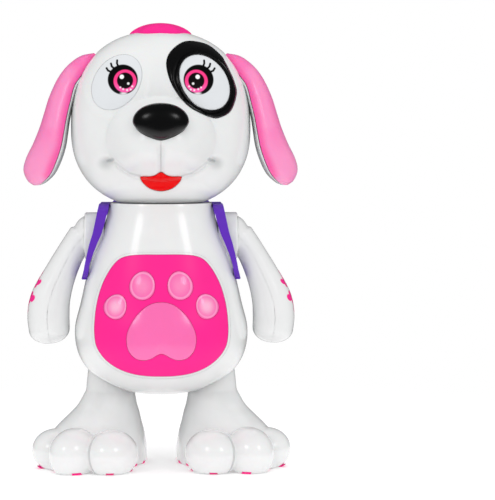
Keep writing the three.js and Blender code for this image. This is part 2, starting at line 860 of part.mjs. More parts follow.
function headBody() {
  const outside = above(headSolid(0), headBottomZ);
  const hollow = cut(headCavity(), earBosses(), screwBosses(headScrewPlaces, headSolid(0)), buttonGuide());
  const shells = cut(outside, hollow, headOpenings(), screwBores(headScrewPlaces));
  const rooms = [room.pocket, room.pins, room.swept, room.leverRoom];
  return rooms.reduce((rest, tool) => cut(rest, tool, mirrored(tool)), shells);
}

function buttonGuide() {
  const low = buttonRecessZ - buttonGuideWall;
  return cylinderZ(buttonGuideRadius, low, topReach, 0, 0, wideSteps).intersect(headSolid(0));
}

const headShells = headBody();

function headFrontShell() {
  let shell = frontHalf(headShells);
  shell = cut(shell, facePrism(eyeOutline(-1, seatGap)).intersect(headLayer(-eyeSink - seatGap, overrun)));
  shell = cut(shell, facePrism(eyeOutline(1, seatGap)).intersect(headLayer(-eyeSink - seatGap, overrun)));
  shell = cut(shell, facePrism(patchOutline(seatGap)).intersect(headLayer(-patchSink - seatGap, overrun)));
  shell = cut(shell, facePrism(tongueOutline(seatGap)).intersect(headLayer(-tongueSink - seatGap, overrun)));
  return largest(cut(shell, nosePeg(seatGap)));
}

function grilleSlot(radius, side) {
  const shape = new THREE.Shape();
  const middle = side > 0 ? 0 : Math.PI;
  const half = radians(grilleHalfAngle);
  shape.absarc(0, speakerZ, radius + grilleSlotWidth / 2, middle - half, middle + half, false);
  shape.absarc(0, speakerZ, radius - grilleSlotWidth / 2, middle + half, middle - half, true);
  return prismY(shape, speakerFaceY, farReach, fineCorner);
}

function grille() {
  const radii = [grilleInnerRadius, grilleOuterRadius];
  const slots = [1, -1].flatMap((side) => radii.map((radius) => grilleSlot(radius, side)));
  return union(cylinderY(grilleHoleRadius, speakerFaceY, farReach, 0, speakerZ, smallSteps), ...slots);
}

const switchFaceY = headRearDepth * switchSurfaceShare - switchRecess;
const switchBackY = switchFaceY - switchPad;

function switchBlock(marginX, marginZ, y0, y1) {
  const [w, h] = [switchBodyHalfWidth + marginX, switchBodyHalfHeight + marginZ];
  return box(-w, w, y0, y1, switchZ - h, switchZ + h);
}

function speakerRing() {
  const radius = speakerRadius + seatGap;
  const low = speakerFaceY - speakerThickness;
  const ring = cylinderY(radius + speakerRingWall, low, headRearDepth, 0, speakerZ, wideSteps);
  return cut(ring, cylinderY(radius, 0, speakerFaceY + seatGap, 0, speakerZ, wideSteps));
}

function headRearShell() {
  const postFrontY = earFrameY + earFrameThickness + seatGap;
  const posts = [1, -1].map((side) =>
    cylinderY(earPostRadius, postFrontY, headRearDepth, side * earPostX, camZ, smallSteps),
  );
  const seat = switchBlock(switchPad, switchSeatMargin, switchBackY - switchBodyDepth, headRearDepth);
  const added = union(speakerRing(), ...posts, seat).intersect(headSolid(-headWall / 2));
  const recess = prismY(ovalOutline(0, switchZ, switchHalfWidth, switchHalfHeight), switchFaceY, farReach);
  const shell = union(rearHalf(headShells), added);
  return largest(cut(shell, switchBlock(seatGap, seatGap, 0, switchBackY), recess, switchSlot(), grille()));
}

function switchSlot() {
  const half = switchStemHalfWidth + switchTravel + seatGap;
  const tall = switchStemHalfHeight + seatGap;
  return box(-half, half, switchBackY - overlap, farReach, switchZ - tall, switchZ + tall);
}

function switchKnob() {
  const y = switchFaceY + seatGap;
  const [wide, tall] = [switchKnobHalfWidth, switchKnobHalfHeight];
  const outline = ovalOutline(0, switchZ, wide, tall, 0, roundSteps, switchKnobEggShare);
  const [w, h] = [switchStemHalfWidth, switchStemHalfHeight];
  const stem = box(-w, w, switchBackY - overlap, y + overlap, switchZ - h, switchZ + h);
  return union(prismY(outline, y, y + switchKnobReach), stem);
}

function switchBody() {
  const back = switchBackY - seatGap;
  const half = switchStemHalfWidth + switchTravel + seatGap;
  const tall = switchStemHalfHeight + seatGap;
  const track = box(-half, half, back - switchBodyDepth / 2, back + overrun, switchZ - tall, switchZ + tall);
  return cut(switchBlock(0, 0, back - switchBodyDepth, back), track);
}

function speaker() {
  const low = speakerFaceY - speakerThickness;
  const rim = cylinderY(speakerRadius, low, speakerFaceY, 0, speakerZ, wideSteps);
  const magnet = cylinderY(speakerMagnetRadius, low - speakerMagnetThickness, low + overlap, 0, speakerZ);
  return union(rim, magnet);
}

function headButton() {
  const ball = new THREE.SphereGeometry(1, wideSteps, domeSteps).rotateX(Math.PI / 2);
  ball.scale(buttonHalfWidth * buttonDomeShare, buttonHalfDepth * buttonDomeShare, buttonRise);
  const sides = prismZ(buttonOutline(), buttonFloorZ, topReach);
  const dome = toSolid(ball.translate(0, 0, buttonFloorZ)).intersect(sides);
  return union(dome, cylinderZ(buttonStemRadius, buttonFloorZ - buttonStemLength, buttonFloorZ + overlap));
}

// Ear drive and the small switch on its frame, under the crown button

const crownSwitch = () => {
  const low = camZ + earFrameHeight / 2 + seatGap;
  const high = buttonFloorZ - buttonStemLength - buttonTravel - seatGap;
  const rear = earFrameY + earFrameThickness;
  return box(-buttonStemRadius, buttonStemRadius, rear - crownSwitchDepth, rear, low, high);
};

const earFrame = () => {
  const [w, h] = [earFrameWidth / 2, earFrameHeight / 2];
  const plate = box(-w, w, earFrameY, earFrameY + earFrameThickness, camZ - h, camZ + h);
  const bore = cylinderY(earMotorShaftRadius + seatGap, 0, earFrameY + overrun, 0, camZ, smallSteps);
  return cut(plate, bore);
};

const earMotor = () => {
  const face = earFrameY + earFrameThickness + seatGap;
  return union(
    cylinderY(earMotorRadius, face, face + earMotorLength, 0, camZ, roundSteps),
    cylinderY(earMotorShaftRadius, earFrameY - earMotorShaftReach, face + overlap, 0, camZ, smallSteps),
  );
};

const earCam = () => {
  const rear = earFrameY - seatGap;
  const face = rear - camThickness;
  const disc = cylinderY(camRadius, face, rear, 0, camZ, wideSteps);
  const pinZ = camZ + camPinOffset;
  const pin = cylinderY(camPinRadius, face - camPinLength, face + overlap, 0, pinZ, smallSteps);
  const boreEnd = earFrameY - earMotorShaftReach - seatGap;
  const bore = cylinderY(earMotorShaftRadius + seatGap, boreEnd, rear + overrun, 0, camZ, smallSteps);
  return cut(union(disc, pin), bore);
};

// Neck

function neckSpindle() {
  const lowTop = neckZ - bodyWall - seatGap;
  const highLow = headBottomZ + headFloorWall + seatGap;
  return latheZ(
    [
      [spindleBore, lowTop - spindleFlangeThickness],
      [spindleFlangeRadius, lowTop - spindleFlangeThickness],
      [spindleFlangeRadius, lowTop],
      [spindleRadius, lowTop],
      [spindleRadius, highLow],
      [spindleFlangeRadius, highLow],
      [spindleFlangeRadius, highLow + spindleFlangeThickness],
      [spindleBore, highLow + spindleFlangeThickness],
      [spindleBore, lowTop - spindleFlangeThickness],
    ],
    0,
    0,
    wideSteps,
  );
}

// Body shells

function panelOutline(margin = 0) {
  const [w, z0, z1] = [panelHalfWidth, panelBottomZ, panelTopZ];
  return evenOutline(panelWidthShares, panelHeightShares, w, z0, z1, wideSteps, margin);
}

function padOutline(margin = 0) {
  const [w, z0, z1] = [padHalfWidth, padBottomZ, padTopZ];
  return evenOutline(padWidthShares, padHeightShares, w, z0, z1, padSteps, margin);
}

function innerToeOutline(side, margin) {
  const [w, h] = [innerToeHalfWidth + margin, innerToeHalfHeight + margin];
  return ovalOutline(side * innerToeX, innerToeZ, w, h, side * innerToeTilt, roundSteps, innerToeEggShare);
}

function outerToeOutline(side, margin) {
  const [w, h] = [outerToeHalfWidth + margin, outerToeHalfHeight + margin];
  return ovalOutline(side * outerToeX, outerToeZ, w, h, side * outerToeTilt, roundSteps, outerToeEggShare);
}

const toeOutlines = (margin) =>
  [1, -1].flatMap((side) => [innerToeOutline(side, margin), outerToeOutline(side, margin)]);

const pawOutlines = (margin = 0) => [padOutline(margin), ...toeOutlines(margin)];

function pairX(radius, x0, x1, z, steps = wideSteps) {
  const one = cylinderX(radius, x0, x1, 0, z, steps);
  return one.add(mirrored(one));
}

function legTunnels(margin = 0) {
  const shape = ovalOutline(hipX, 0, legOpeningHalfWidth + margin, legOpeningHalfDepth + margin);
  const one = prismZ(shape, 0, hipZ + legTopRise);
  return one.add(mirrored(one));
}

function bodyBody() {
  const outside = bodySolid(0);
  const below = box(-farReach, farReach, -farReach, farReach, 0, neckZ - bodyWall);
  const cavity = bodySolid(-bodyWall).intersect(below);
  const bossInnerX = cupBackX - seatGap - shoulderBossWall;
  const bosses = pairX(shoulderBossRadius, bossInnerX, farReach, armPivotZ).intersect(outside);
  const hollow = cut(cavity, bosses, screwBosses(bodyScrewPlaces, outside), gearboxSeat(), batteryRibs());
  const pockets = pairX(cupRadius + turnGap, cupBackX - seatGap, farReach, armPivotZ);
  const hubs = pairX(hubRadius + seatGap, bossInnerX - overlap, farReach, armPivotZ);
  const neck = cylinderZ(spindleRadius + seatGap, neckZ - bodyWall - overrun, topReach, 0, 0, wideSteps);
  return cut(outside, hollow, pockets, hubs, neck, legTunnels(), screwBores(bodyScrewPlaces));
}

// A block on the body's floor, in both shells, that the gearbox stands on
function gearboxSeat() {
  const half = gearboxSeatHalfWidth;
  return box(-half, half, -half, half, 0, gearboxBottomZ - seatGap);
}

const batteryHalfHeight = () => (cellPitch * cellCount) / 2 + batteryWall;

// Two ribs of the rear shell hold the battery box between them.
function batteryRibs() {
  const front = batteryBackY - batteryDepth;
  const near = batteryHalfHeight() + seatGap;
  const far = near + batteryRibThickness;
  const w = batteryRibHalfWidth;
  return union(
    box(-w, w, front, farReach, batteryZ + near, batteryZ + far),
    box(-w, w, front, farReach, batteryZ - far, batteryZ - near),
  );
}

const bodyShells = bodyBody();

const bodyFrontShell = () => largest(cut(frontHalf(bodyShells), facePrism(panelOutline(seatGap))));

function coverOutline(margin = 0) {
  const wide = coverHalfWidth + margin;
  return roundedOutline(-wide, wide, coverBottomZ - margin, coverTopZ + margin, coverCorner);
}

// Upright ribs behind the side edges of the battery opening, which the cover rests on
function coverRibs() {
  const x = coverHalfWidth - coverRibInset;
  const y = batteryBackY - coverRibDepth;
  const one = box(x, x + coverRibWidth, y, farReach, coverBottomZ + coverCorner, coverTopZ);
  return one.add(mirrored(one)).intersect(bodySolid(-coverThickness - seatGap));
}

// The boss under the cover's screw stands on the body's floor.
function coverScrewBoss() {
  const half = coverBossHalfWidth;
  const front = coverScrewSeatY - coverScrewLength - overlap;
  const rear = coverScrewSeatY - seatGap;
  const block = box(coverScrewX - half, coverScrewX + half, front, rear, 0, coverScrewZ + half);
  return block.intersect(bodySolid(-bodyWall / 2));
}

function coverScrewBore() {
  const front = coverScrewSeatY - coverScrewLength - overlap - overrun;
  return cylinderY(screwShankRadius + seatGap, front, farReach, coverScrewX, coverScrewZ, smallSteps);
}

function bodyRearShell() {
  const opened = cut(rearHalf(bodyShells), rearPrism(coverOutline(seatGap)));
  const shell = union(opened, coverRibs(), coverScrewBoss());
  return largest(cut(shell, legTunnels(), coverScrewBore(), screwBores(bodyScrewPlaces)));
}

// Belly panel, paw lens and lamp board

function bellyPanel() {
  const plate = facePrism(panelOutline()).intersect(bodyLayer(-bodyWall, panelProud));
  return largest(cut(plate, ...pawOutlines(seatGap).map(facePrism)));
}

function pawLens() {
  const baseTop = -bodyWall - seatGap;
  const base = facePrism(panelOutline(pawBaseMargin)).intersect(bodyLayer(baseTop - pawBaseDepth, baseTop));
  const middle = baseTop - pawBaseDepth / 2;
  const islands = pawOutlines().map((outline) => facePrism(outline).intersect(bodyLayer(middle, pawProud)));
  const postRearY = lampBoardY - lampBoardThickness - seatGap;
  const post = cylinderY(lampPostRadius, -farReach, postRearY, lampPostX, lampZ, smallSteps);
  const posts = union(post, mirrored(post)).intersect(bodySolid(middle));
  return union(base, ...islands, posts);
}

function ledBoard() {
  const [w, h] = [lampBoardWidth / 2, lampBoardHeight / 2];
  return box(-w, w, lampBoardY - lampBoardThickness, lampBoardY, lampZ - h, lampZ + h);
}

const armBallX = armPivotX - armPinSetback;

// Shoulder cup: turns in the body on its hub, and holds the arm's ball on two pins

function shoulderCup() {
  const inner = cupRadius - cupWall;
  const hubInner = cupBackX - seatGap - shoulderBossWall - seatGap - hubFlangeThickness;
  const rim = cylinderX(cupRadius, cupBackX, cupRimX, 0, armPivotZ, wideSteps);
  const hollow = cylinderX(inner, cupBackX + cupFloorWall, cupRimX + overrun, 0, armPivotZ, wideSteps);
  const hub = cylinderX(hubRadius, hubInner, cupBackX + overlap, 0, armPivotZ, wideSteps);
  const flange = cylinderX(hubFlangeRadius, hubInner, hubInner + hubFlangeThickness, 0, armPivotZ, wideSteps);
  const slot = cylinderY(armPinRadius + seatGap, -farReach, farReach, armBallX, armPivotZ, smallSteps);
  return cut(union(cut(rim, hollow), hub, flange), slot);
}

// Arm: a hollow limb on a ball that turns in the cup

function armLoft(shrink) {
  const last = armSpineX.length - 1;
  const sections = armSpineX.map((x, i) => {
    const [a, b] = [Math.max(0, i - 1), Math.min(last, i + 1)];
    const run = new THREE.Vector2(armSpineX[b] - armSpineX[a], armSpineZ[b] - armSpineZ[a]).normalize();
    const out = new THREE.Vector2(-run.y, run.x);
    const thick = Math.max(armHalfThickness[i] - shrink, armWall / 2);
    const broad = Math.max(armHalfBreadth[i] - shrink, armWall / 2);
    const endShift = i === last ? shrink : 0;
    const ring = [];
    for (let j = 0; j < limbSteps; j++) {
      const angle = (2 * Math.PI * j) / limbSteps;
      const lift = thick * signedPower(Math.cos(angle), 2 / armSquareness);
      const side = broad * signedPower(Math.sin(angle), 2 / armSquareness);
      ring.push(
        new THREE.Vector3(
          x + out.x * lift - run.x * endShift,
          side,
          armSpineZ[i] + out.y * lift - run.y * endShift,
        ),
      );
    }
    return ring;
  });
  return loft(sections);
}

// Everything on the outer side of the arm's spine, as a thick sheet that follows it
function outerSheet(offset) {
  const last = armSpineX.length - 1;
  const points = armSpineX.map((x, i) => {
    const [a, b] = [Math.max(0, i - 1), Math.min(last, i + 1)];
    const run = new THREE.Vector2(armSpineX[b] - armSpineX[a], armSpineZ[b] - armSpineZ[a]).normalize();
    return [x - run.y * offset, armSpineZ[i] + run.x * offset];
  });
  const [x0, z0] = points[0];
  const [x1, z1] = points[last];
  const start = [x0 - farReach, z0 + farReach * armSplitRiseShare];
  const corners = [[x1, z1 - farReach], [x1 + farReach, z1 - farReach], [x0 + farReach, z0 + farReach]];
  return prismY(outlineOf([start, ...points, ...corners]), -farReach, farReach);
}

function armBall() {
  const [cx, cz] = [armBallX, armPivotZ];
  const radius = cupRadius - cupWall - turnGap;
  const ball = toSolid(new THREE.SphereGeometry(radius, wideSteps, roundSteps).translate(cx, 0, cz));
  const room = (cx - cupBackX - cupFloorWall - turnGap) * Math.cos(radians(armLift) / 2);
  const keep = rightOf(cx - room);
  const reach = cupRadius - armPinInset;
  const pin = cylinderY(armPinRadius, -reach, reach, cx, cz, smallSteps);
  return union(ball.intersect(keep).intersect(turnedAboutY(keep, -armLift, cx, cz)), pin);
}

// The cup's rim as the lifted arm sees it, which the arm's root is cut clear of
function liftedRims() {
  const tube = cylinderX(cupRadius + turnGap, cupBackX, cupRimX + turnGap, 0, armPivotZ, wideSteps);
  const rim = cut(tube, cylinderX(cupRadius - cupWall - turnGap, 0, farReach, 0, armPivotZ, wideSteps));
  return armLiftShares.map((share) => turnedAboutY(rim, -share * armLift, armBallX, armPivotZ));
}

function armPieces() {
  const limb = armLoft(0).intersect(rightOf(cupRimX + turnGap));
  const hollow = armLoft(armWall).intersect(rightOf(cupRimX + overrun));
  const whole = cut(union(cut(limb, ...liftedRims()), armBall()), hollow);
  const outer = largest(whole.intersect(outerSheet(seatGap / 2)));
  return { outer, inner: largest(cut(whole, outerSheet(-seatGap / 2))) };
}

// Leg: a round neck that swells into a splayed foot with three toes, hollow and open underneath

// A place in the foot's own directions, forward and across, as a place in the part
function footPoint(forward, across, z) {
  const turn = radians(footTurn);
  const x = hipX + forward * Math.sin(turn) + across * Math.cos(turn);
  return new THREE.Vector3(x, across * Math.sin(turn) - forward * Math.cos(turn), z);
}

function footRing(i, shrink) {
  const power = 2 / footSquareness;
  const ring = [];
  for (let j = 0; j < footSteps; j++) {
    const angle = (2 * Math.PI * j) / footSteps;
    const forward = (footHalfLengths[i] - shrink) * signedPower(Math.cos(angle), power);
    const across = (footHalfWidths[i] - shrink) * signedPower(Math.sin(angle), power);
    ring.push(footPoint(footCentres[i] + forward, footCentres[i] * footOutShare + across, footHeights[i]));
  }
  return ring;
}

function roundRing(radius, z) {
  const ring = [];
  for (let j = 0; j < footSteps; j++) {
    const angle = (2 * Math.PI * j) / footSteps;
    ring.push(footPoint(radius * Math.cos(angle), radius * Math.sin(angle), z));
  }
  return ring;
}

function toe(i, shrink) {
  const ball = new THREE.SphereGeometry(1, toeSteps, toeRowSteps).rotateX(Math.PI / 2);
  ball.scale(toeHalfWidth[i] - shrink, toeHalfLength[i] - shrink, toeRise[i] - shrink);
  const at = footPoint(toeForward[i], toeAcross[i], toeZ);
  return toSolid(ball.rotateZ(radians(footTurn)).translate(at.x, at.y, at.z));
}

const toes = (shrink) => toeForward.map((_, i) => toe(i, shrink));

function leg() {
  const sections = footHeights.map((_, i) => footRing(i, 0));
  for (let step = 0; step <= legCapSteps; step++) {
    const angle = radians((step * legCapAngle) / legCapSteps);
    const z = hipZ - legShoulderDrop + legTopRise * Math.sin(angle);
    sections.push(roundRing(legRadius * Math.cos(angle), z));
  }
  const hollowRings = footHeights.filter((z) => z < footHollowTopZ).map((_, i) => footRing(i, legWall));
  const bore = cylinderX(hipShaftRadius + seatGap, 0, hipX + legRadius - legBoreWall, 0, hipZ);
  const outside = above(union(loft(sections), ...toes(0)), soleTabHeight + seatGap);
  return cut(outside, loft(hollowRings), bore);
}

// Sole: a plate inside the foot's edge, with bars below it whose ends show all round
function sole() {
  const sections = footHeights.map((_, i) => footRing(i, 0));
  const inner = footHeights.map((_, i) => footRing(i, soleInset));
  const slab = box(-farReach, farReach, -farReach, farReach, 0, soleThickness);
  const bars = Array.from({ length: soleBarCount }, (_, i) => {
    const bar = new THREE.BoxGeometry(farReach, soleTabWidth, soleTabHeight);
    const at = footPoint(footCentres[0], footCentres[0] * footOutShare, soleTabHeight / 2);
    return toSolid(bar.rotateZ((Math.PI * i) / soleBarCount).translate(at.x, at.y, at.z));
  });
  const tabs = union(...bars).intersect(union(loft(sections), ...toes(0)));
  return union(loft(inner).intersect(slab), tabs);
}

// Hip shaft and walking drive

const hipShaftReach = hipX + legRadius - legBoreWall - seatGap;
const hipShaft = () => cylinderX(hipShaftRadius, -hipShaftReach, hipShaftReach, 0, hipZ);

function gearboxCase() {
  const [w, d] = [gearboxHalfWidth, gearboxHalfDepth];
  const [innerW, innerD] = [w - gearboxWall, d - gearboxWall];
  const block = box(-w, w, -d, d, gearboxBottomZ, gearboxTopZ);
  const inner = box(-innerW, innerW, -innerD, innerD, gearboxBottomZ + gearboxWall, topReach);
  const shaftBore = cylinderX(hipShaftRadius + crankShaftGap, -farReach, farReach, 0, hipZ);
  const crankBore = cylinderX(crankShaftRadius + crankShaftGap, -farReach, farReach, 0, crankZ);
  const motorBore = cylinderX(earMotorShaftRadius + seatGap, -farReach, 0, 0, motorZ, smallSteps);
  return cut(block, inner, shaftBore, crankBore, motorBore);
}

const pitchRadius = (teeth) => (teeth * toothArc) / (2 * Math.PI);

function gearOutline(teeth, cy, cz, firstAngle) {
  const pitch = (2 * Math.PI) / teeth;
  const tip = pitchRadius(teeth) + toothAddendum;
  const foot = pitchRadius(teeth) - toothDedendum;
  const points = [];
  for (let i = 0; i < teeth; i++) {
    const middle = firstAngle + i * pitch;
    const corners = [
      [foot, -toothRootShare],
      [tip, -toothTipShare],
      [tip, toothTipShare],
      [foot, toothRootShare],
    ];
    for (const [r, share] of corners) {
      points.push([cy + r * Math.cos(middle + share * pitch), cz + r * Math.sin(middle + share * pitch)]);
    }
  }
  return outlineOf(points);
}

function crankGear() {
  const half = crankThickness / 2;
  const end = gearboxHalfWidth + seatGap;
  const web = crankPinOffset + crankPinRadius;
  const gapUp = Math.PI / 2 + Math.PI / gearTeeth;
  const gear = prismX(gearOutline(gearTeeth, 0, crankZ, gapUp), -half, half);
  const shaft = cylinderX(crankShaftRadius, -end - overlap, end + overlap, 0, crankZ);
  const disc = cylinderX(web, end, end + crankPinLength, 0, crankZ);
  const pinX = end + crankPinLength - overlap;
  const pinEnd = pinX + crankPinLength + overlap;
  const pin = cylinderX(crankPinRadius, pinX, pinEnd, 0, crankZ + crankPinOffset, smallSteps);
  const otherPin = pin.translate([0, 0, -2 * crankPinOffset]);
  return union(gear, shaft, disc, mirrored(disc), pin, mirrored(otherPin));
}

const motorZ = crankZ + pitchRadius(gearTeeth) + pitchRadius(pinionTeeth) + meshSlack;

function driveMotor() {
  const face = -gearboxHalfWidth - seatGap;
  const can = cylinderX(motorRadius, face - motorLength, face, 0, motorZ, roundSteps);
  return union(can, cylinderX(earMotorShaftRadius, face - overlap, crankThickness, 0, motorZ, smallSteps));
}

function drivePinion() {
  const half = crankThickness / 2;
  const wheel = prismX(gearOutline(pinionTeeth, 0, motorZ, -Math.PI / 2), -half, half);
  const bore = earMotorShaftRadius + crankShaftGap;
  return cut(wheel, cylinderX(bore, -farReach, farReach, 0, motorZ, smallSteps));
}

// Battery box, cells, cover and tail

function cellCentres() {
  return Array.from({ length: cellCount }, (_, i) => batteryZ + (i - (cellCount - 1) / 2) * cellPitch);
}

function batteryBox() {
  const [w, h] = [cellLength / 2 + batteryWall + seatGap, batteryHalfHeight()];
  const [innerW, innerH] = [w - batteryWall, h - batteryWall];
  const front = batteryBackY - batteryDepth;
  const block = box(-w, w, front, batteryBackY, batteryZ - h, batteryZ + h);
  const room = box(-innerW, innerW, front + batteryWall, farReach, batteryZ - innerH, batteryZ + innerH);
  return cut(block, room);
}

function batteryCell(z) {
  const y = batteryBackY - batteryDepth + batteryWall + seatGap + cellRadius;
  const can = cylinderX(cellRadius, -cellLength / 2, cellLength / 2 - overlap, y, z);
  return union(can, cylinderX(cellRadius * cellNubShare, 0, cellLength / 2, y, z, smallSteps));
}

function batteryCover() {
  const plate = rearPrism(coverOutline()).intersect(bodyLayer(-coverThickness, 0));
  const [x, z] = [coverScrewX, coverScrewZ];
  const bore = screwHeadRadius + seatGap;
  const tube = cylinderY(bore + coverTubeWall, coverScrewSeatY, farReach, x, z).intersect(bodySolid(0));
  const head = cylinderY(bore, coverScrewSeatY + coverTubeFloor, farReach, x, z);
  const shank = cylinderY(screwShankRadius + seatGap, 0, farReach, x, z, smallSteps);
  return largest(cut(union(plate, tube), head, shank));
}

function coverScrew() {
  const seat = coverScrewSeatY + coverTubeFloor + seatGap;
  return screw(coverScrewX, coverScrewZ, seat, coverScrewSeatY - coverScrewLength);
}

// A curled tail: a round bulb that narrows to a foot turned to one side
const tailShares = [
  [-0.1, 0.5], [-0.63, 0.5], [-1, 0.37], [-1, 0.21], [-1, 0.03], [-0.4, -0.08], [-0.12, -0.2], [0.02, -0.28],
  [0.05, -0.4], [0.02, -0.5], [0.35, -0.53], [0.95, -0.5], [1.12, -0.38], [1.2, -0.28], [0.75, -0.18],
  [0.68, -0.08], [0.62, 0], [0.79, 0.08], [0.79, 0.21], [0.79, 0.36], [0.42, 0.5], [-0.1, 0.5],
];

function tailOutline() {
  const at = tailShares.map(([u, v]) => [tailWidth * u, tailZ + tailHeight * v]);
  const shape = new THREE.Shape().moveTo(...at[0]);
  for (let i = 1; i < at.length; i += corners) shape.bezierCurveTo(...at.slice(i, i + corners).flat());
  return shape;
}

function tail() {
  return prismY(tailOutline(), seatGap, farReach, fineCorner).intersect(bodyLayer(seatGap, tailProud));
}

// Rucksack

function packOutline(shrink) {
  const [wide, low, high] = [packHalfWidth - shrink, packBottomZ + shrink, packTopZ - shrink];
  return roundedOutline(-wide, wide, low, high, packCorner - shrink);
}

// The narrower front of the rucksack, between the wide box and the dog's back
function packNeckOutline(shrink) {
  const inset = packStep + shrink;
  const [wide, low, high] = [packHalfWidth - inset, packBottomZ + inset, packTopZ - inset];
  return roundedOutline(-wide, wide, low, high, packNeckCorner - shrink);
}

function packBlock(shrink) {
  const neck = prismY(packNeckOutline(shrink), packFrontY, packRearY - packRearRound, fineCorner);
  const bands = Array.from({ length: packRearSteps + 1 }, (_, i) => {
    const share = 1 - i / packRearSteps;
    const round = packRearRound * (1 - Math.sqrt(1 - share ** 2));
    const rear = packRearY - (packRearRound * i) / packRearSteps - shrink;
    return prismY(packOutline(round + shrink), packStepY + shrink, rear, fineCorner);
  });
  return union(neck, ...bands);
}

function packShell() {
  const hollow = prismY(packNeckOutline(packWall), 0, packRearY - packRearRound, fineCorner);
  return largest(cut(packBlock(0), hollow, bodySolid(seatGap)));
}

function flap() {
  const outline = roundedOutline(-flapHalfWidth, flapHalfWidth, flapBottomZ, flapTopZ, flapCorner);
  return prismY(outline, packRearY + seatGap, packRearY + seatGap + flapThickness);
}

// A bone: four knobs, two at each end of a shank
function boneOutline() {
  const x = boneHalfWidth - boneKnobRadius * boneKnobInsetShare;
  const [low, high] = [boneZ - boneKnobZ, boneZ + boneKnobZ];
  const shape = new THREE.Shape();
  const [r, shank, notch] = [boneKnobRadius, radians(boneShankAngle), radians(boneNotchAngle)];
  shape.absarc(x, high, r, Math.PI - shank, -notch, true);
  shape.absarc(x, low, r, notch, shank - Math.PI, true);
  shape.absarc(-x, low, r, -shank, -Math.PI - notch, true);
  shape.absarc(-x, high, r, Math.PI + notch, shank, true);
  return shape;
}

function boneBadge() {
  const y = packRearY + flapThickness + 2 * seatGap;
  return prismY(boneOutline(), y, y + boneThickness, smallSteps);
}

// Strap: a band over the shoulder and down its front, then along the body's side to the rucksack
function strapOutline() {
  const inner = strapHeights.map((z, i) => new THREE.Vector2(strapInnerX[i], z));
  const outer = strapHeights.map((z, i) => new THREE.Vector2(strapOuterX[i], z));
  return new THREE.Shape([...inner, ...outer.reverse()]);
}

function strap() {
  const [y, z0, z1, t] = [strapFrontY, strapBottomZ, strapTopZ, strapThickness];
  const loop = (inset) =>
    roundedOutline(y + inset, farReach, z0 + inset, z1 - inset, strapCorner - inset);
  const outer = prismX(loop(0), 0, farReach, fineCorner);
  const inner = prismX(loop(t), 0, farReach, fineCorner);
  const end = packStepY - seatGap;
  const front = cut(outer, inner).intersect(prismY(strapOutline(), y, 0));
  const top = box(packHalfWidth - packStep, strapOuterX[strapOuterX.length - 1], -overlap, end, z1 - t, z1);
  const low = box(0, farReach, y, farReach, z0, z0 + strapWidth);
  const side = outer.intersect(bodyLayer(seatGap, seatGap + t)).intersect(low);
  const room = cylinderX(cupRadius + turnGap, 0, farReach, 0, armPivotZ, wideSteps);
  return largest(cut(union(front, top, side), packBlock(-seatGap), bodySolid(seatGap), room));
}

// Assembly: every solid is built where it belongs, and the whole dog is centred over its depth

const rearMost = packRearY + flapThickness + boneThickness + 2 * seatGap;
const frontMost = noseCentreY - noseHalfDepth;
const dog = new THREE.Group();
dog.position.y = -(rearMost + frontMost) / 2;
const solids = new Map();

function place(name, solid, finish) {
  const mesh = new THREE.Mesh(toGeometry(solid), new THREE.MeshStandardMaterial(finishes[finish]));
  mesh.name = name;
  dog.add(mesh);
  solids.set(name, solid);
}

function placePair(name, solid, finish) {
  for (const [side, sign] of sides) {
    place(name.replace("SIDE", side), sign > 0 ? solid : mirrored(solid), finish);
  }
}

place("head_front_shell", headFrontShell(), "white");
place("head_rear_shell", headRearShell(), "white");
place("head_button", headButton(), "pink");
for (const [side, sign] of sides) {
  const disc = facePrism(eyeOutline(sign)).intersect(headLayer(-eyeSink, eyeProud));
  place("eye_disc_" + side, disc, "eyeWhite");
}
const patchBand = facePrism(patchOutline()).intersect(headLayer(-patchSink, patchProud));
const patch = largest(cut(patchBand, facePrism(eyeOutline(1, seatGap)), room.swept, room.pocket, room.pins));
place("eye_patch", patch, "black");
place("nose", largest(cut(noseSolid(0), headSolid(seatGap)).add(nosePeg(0))), "black");
place("tongue", largest(facePrism(tongueOutline()).intersect(headLayer(-tongueSink, tongueProud))), "red");
placePair("ear_SIDE_front", ear.outer, "pink");
placePair("ear_SIDE_back", ear.inner, "white");
place("ear_frame", earFrame(), "grey");
place("ear_motor", earMotor(), "steel");
place("ear_cam", earCam(), "grey");
place("crown_switch", crownSwitch(), "darkGrey");
place("speaker", speaker(), "darkGrey");
place("switch_body", switchBody(), "darkGrey");
place("switch_knob", switchKnob(), "pink");
headScrewPlaces.forEach(([x, z], i) => place("head_screw_" + (i + 1), screw(x, z), "steel"));
place("neck_spindle", neckSpindle(), "grey");

place("body_front_shell", bodyFrontShell(), "white");
place("body_rear_shell", bodyRearShell(), "white");
place("belly_panel", bellyPanel(), "pink");
place("paw_lens", pawLens(), "lightPink");
place("led_board", ledBoard(), "green");
bodyScrewPlaces.forEach(([x, z], i) => place("body_screw_" + (i + 1), screw(x, z), "steel"));

placePair("shoulder_cup_SIDE", shoulderCup(), "white");
const arm = armPieces();
placePair("arm_SIDE_outer", arm.outer, "white");
placePair("arm_SIDE_inner", arm.inner, "white");
placePair("leg_SIDE", leg(), "white");
placePair("sole_SIDE", sole(), "pink");
place("hip_shaft", hipShaft(), "steel");
place("gearbox_case", gearboxCase(), "darkGrey");
place("crank_gear", crankGear(), "grey");
place("drive_motor", driveMotor(), "steel");
place("drive_pinion", drivePinion(), "brass");
place("battery_box", batteryBox(), "darkGrey");
cellCentres().forEach((z, i) => place("battery_cell_" + (i + 1), batteryCell(z), "brass"));
place("battery_cover", batteryCover(), "white");
place("cover_screw", coverScrew(), "steel");
place("tail", tail(), "pink");
place("backpack_shell", packShell(), "purple");
place("backpack_flap", flap(), "purple");
place("bone_badge", boneBadge(), "pink");
placePair("strap_SIDE", strap(), "purple");

export default dog;
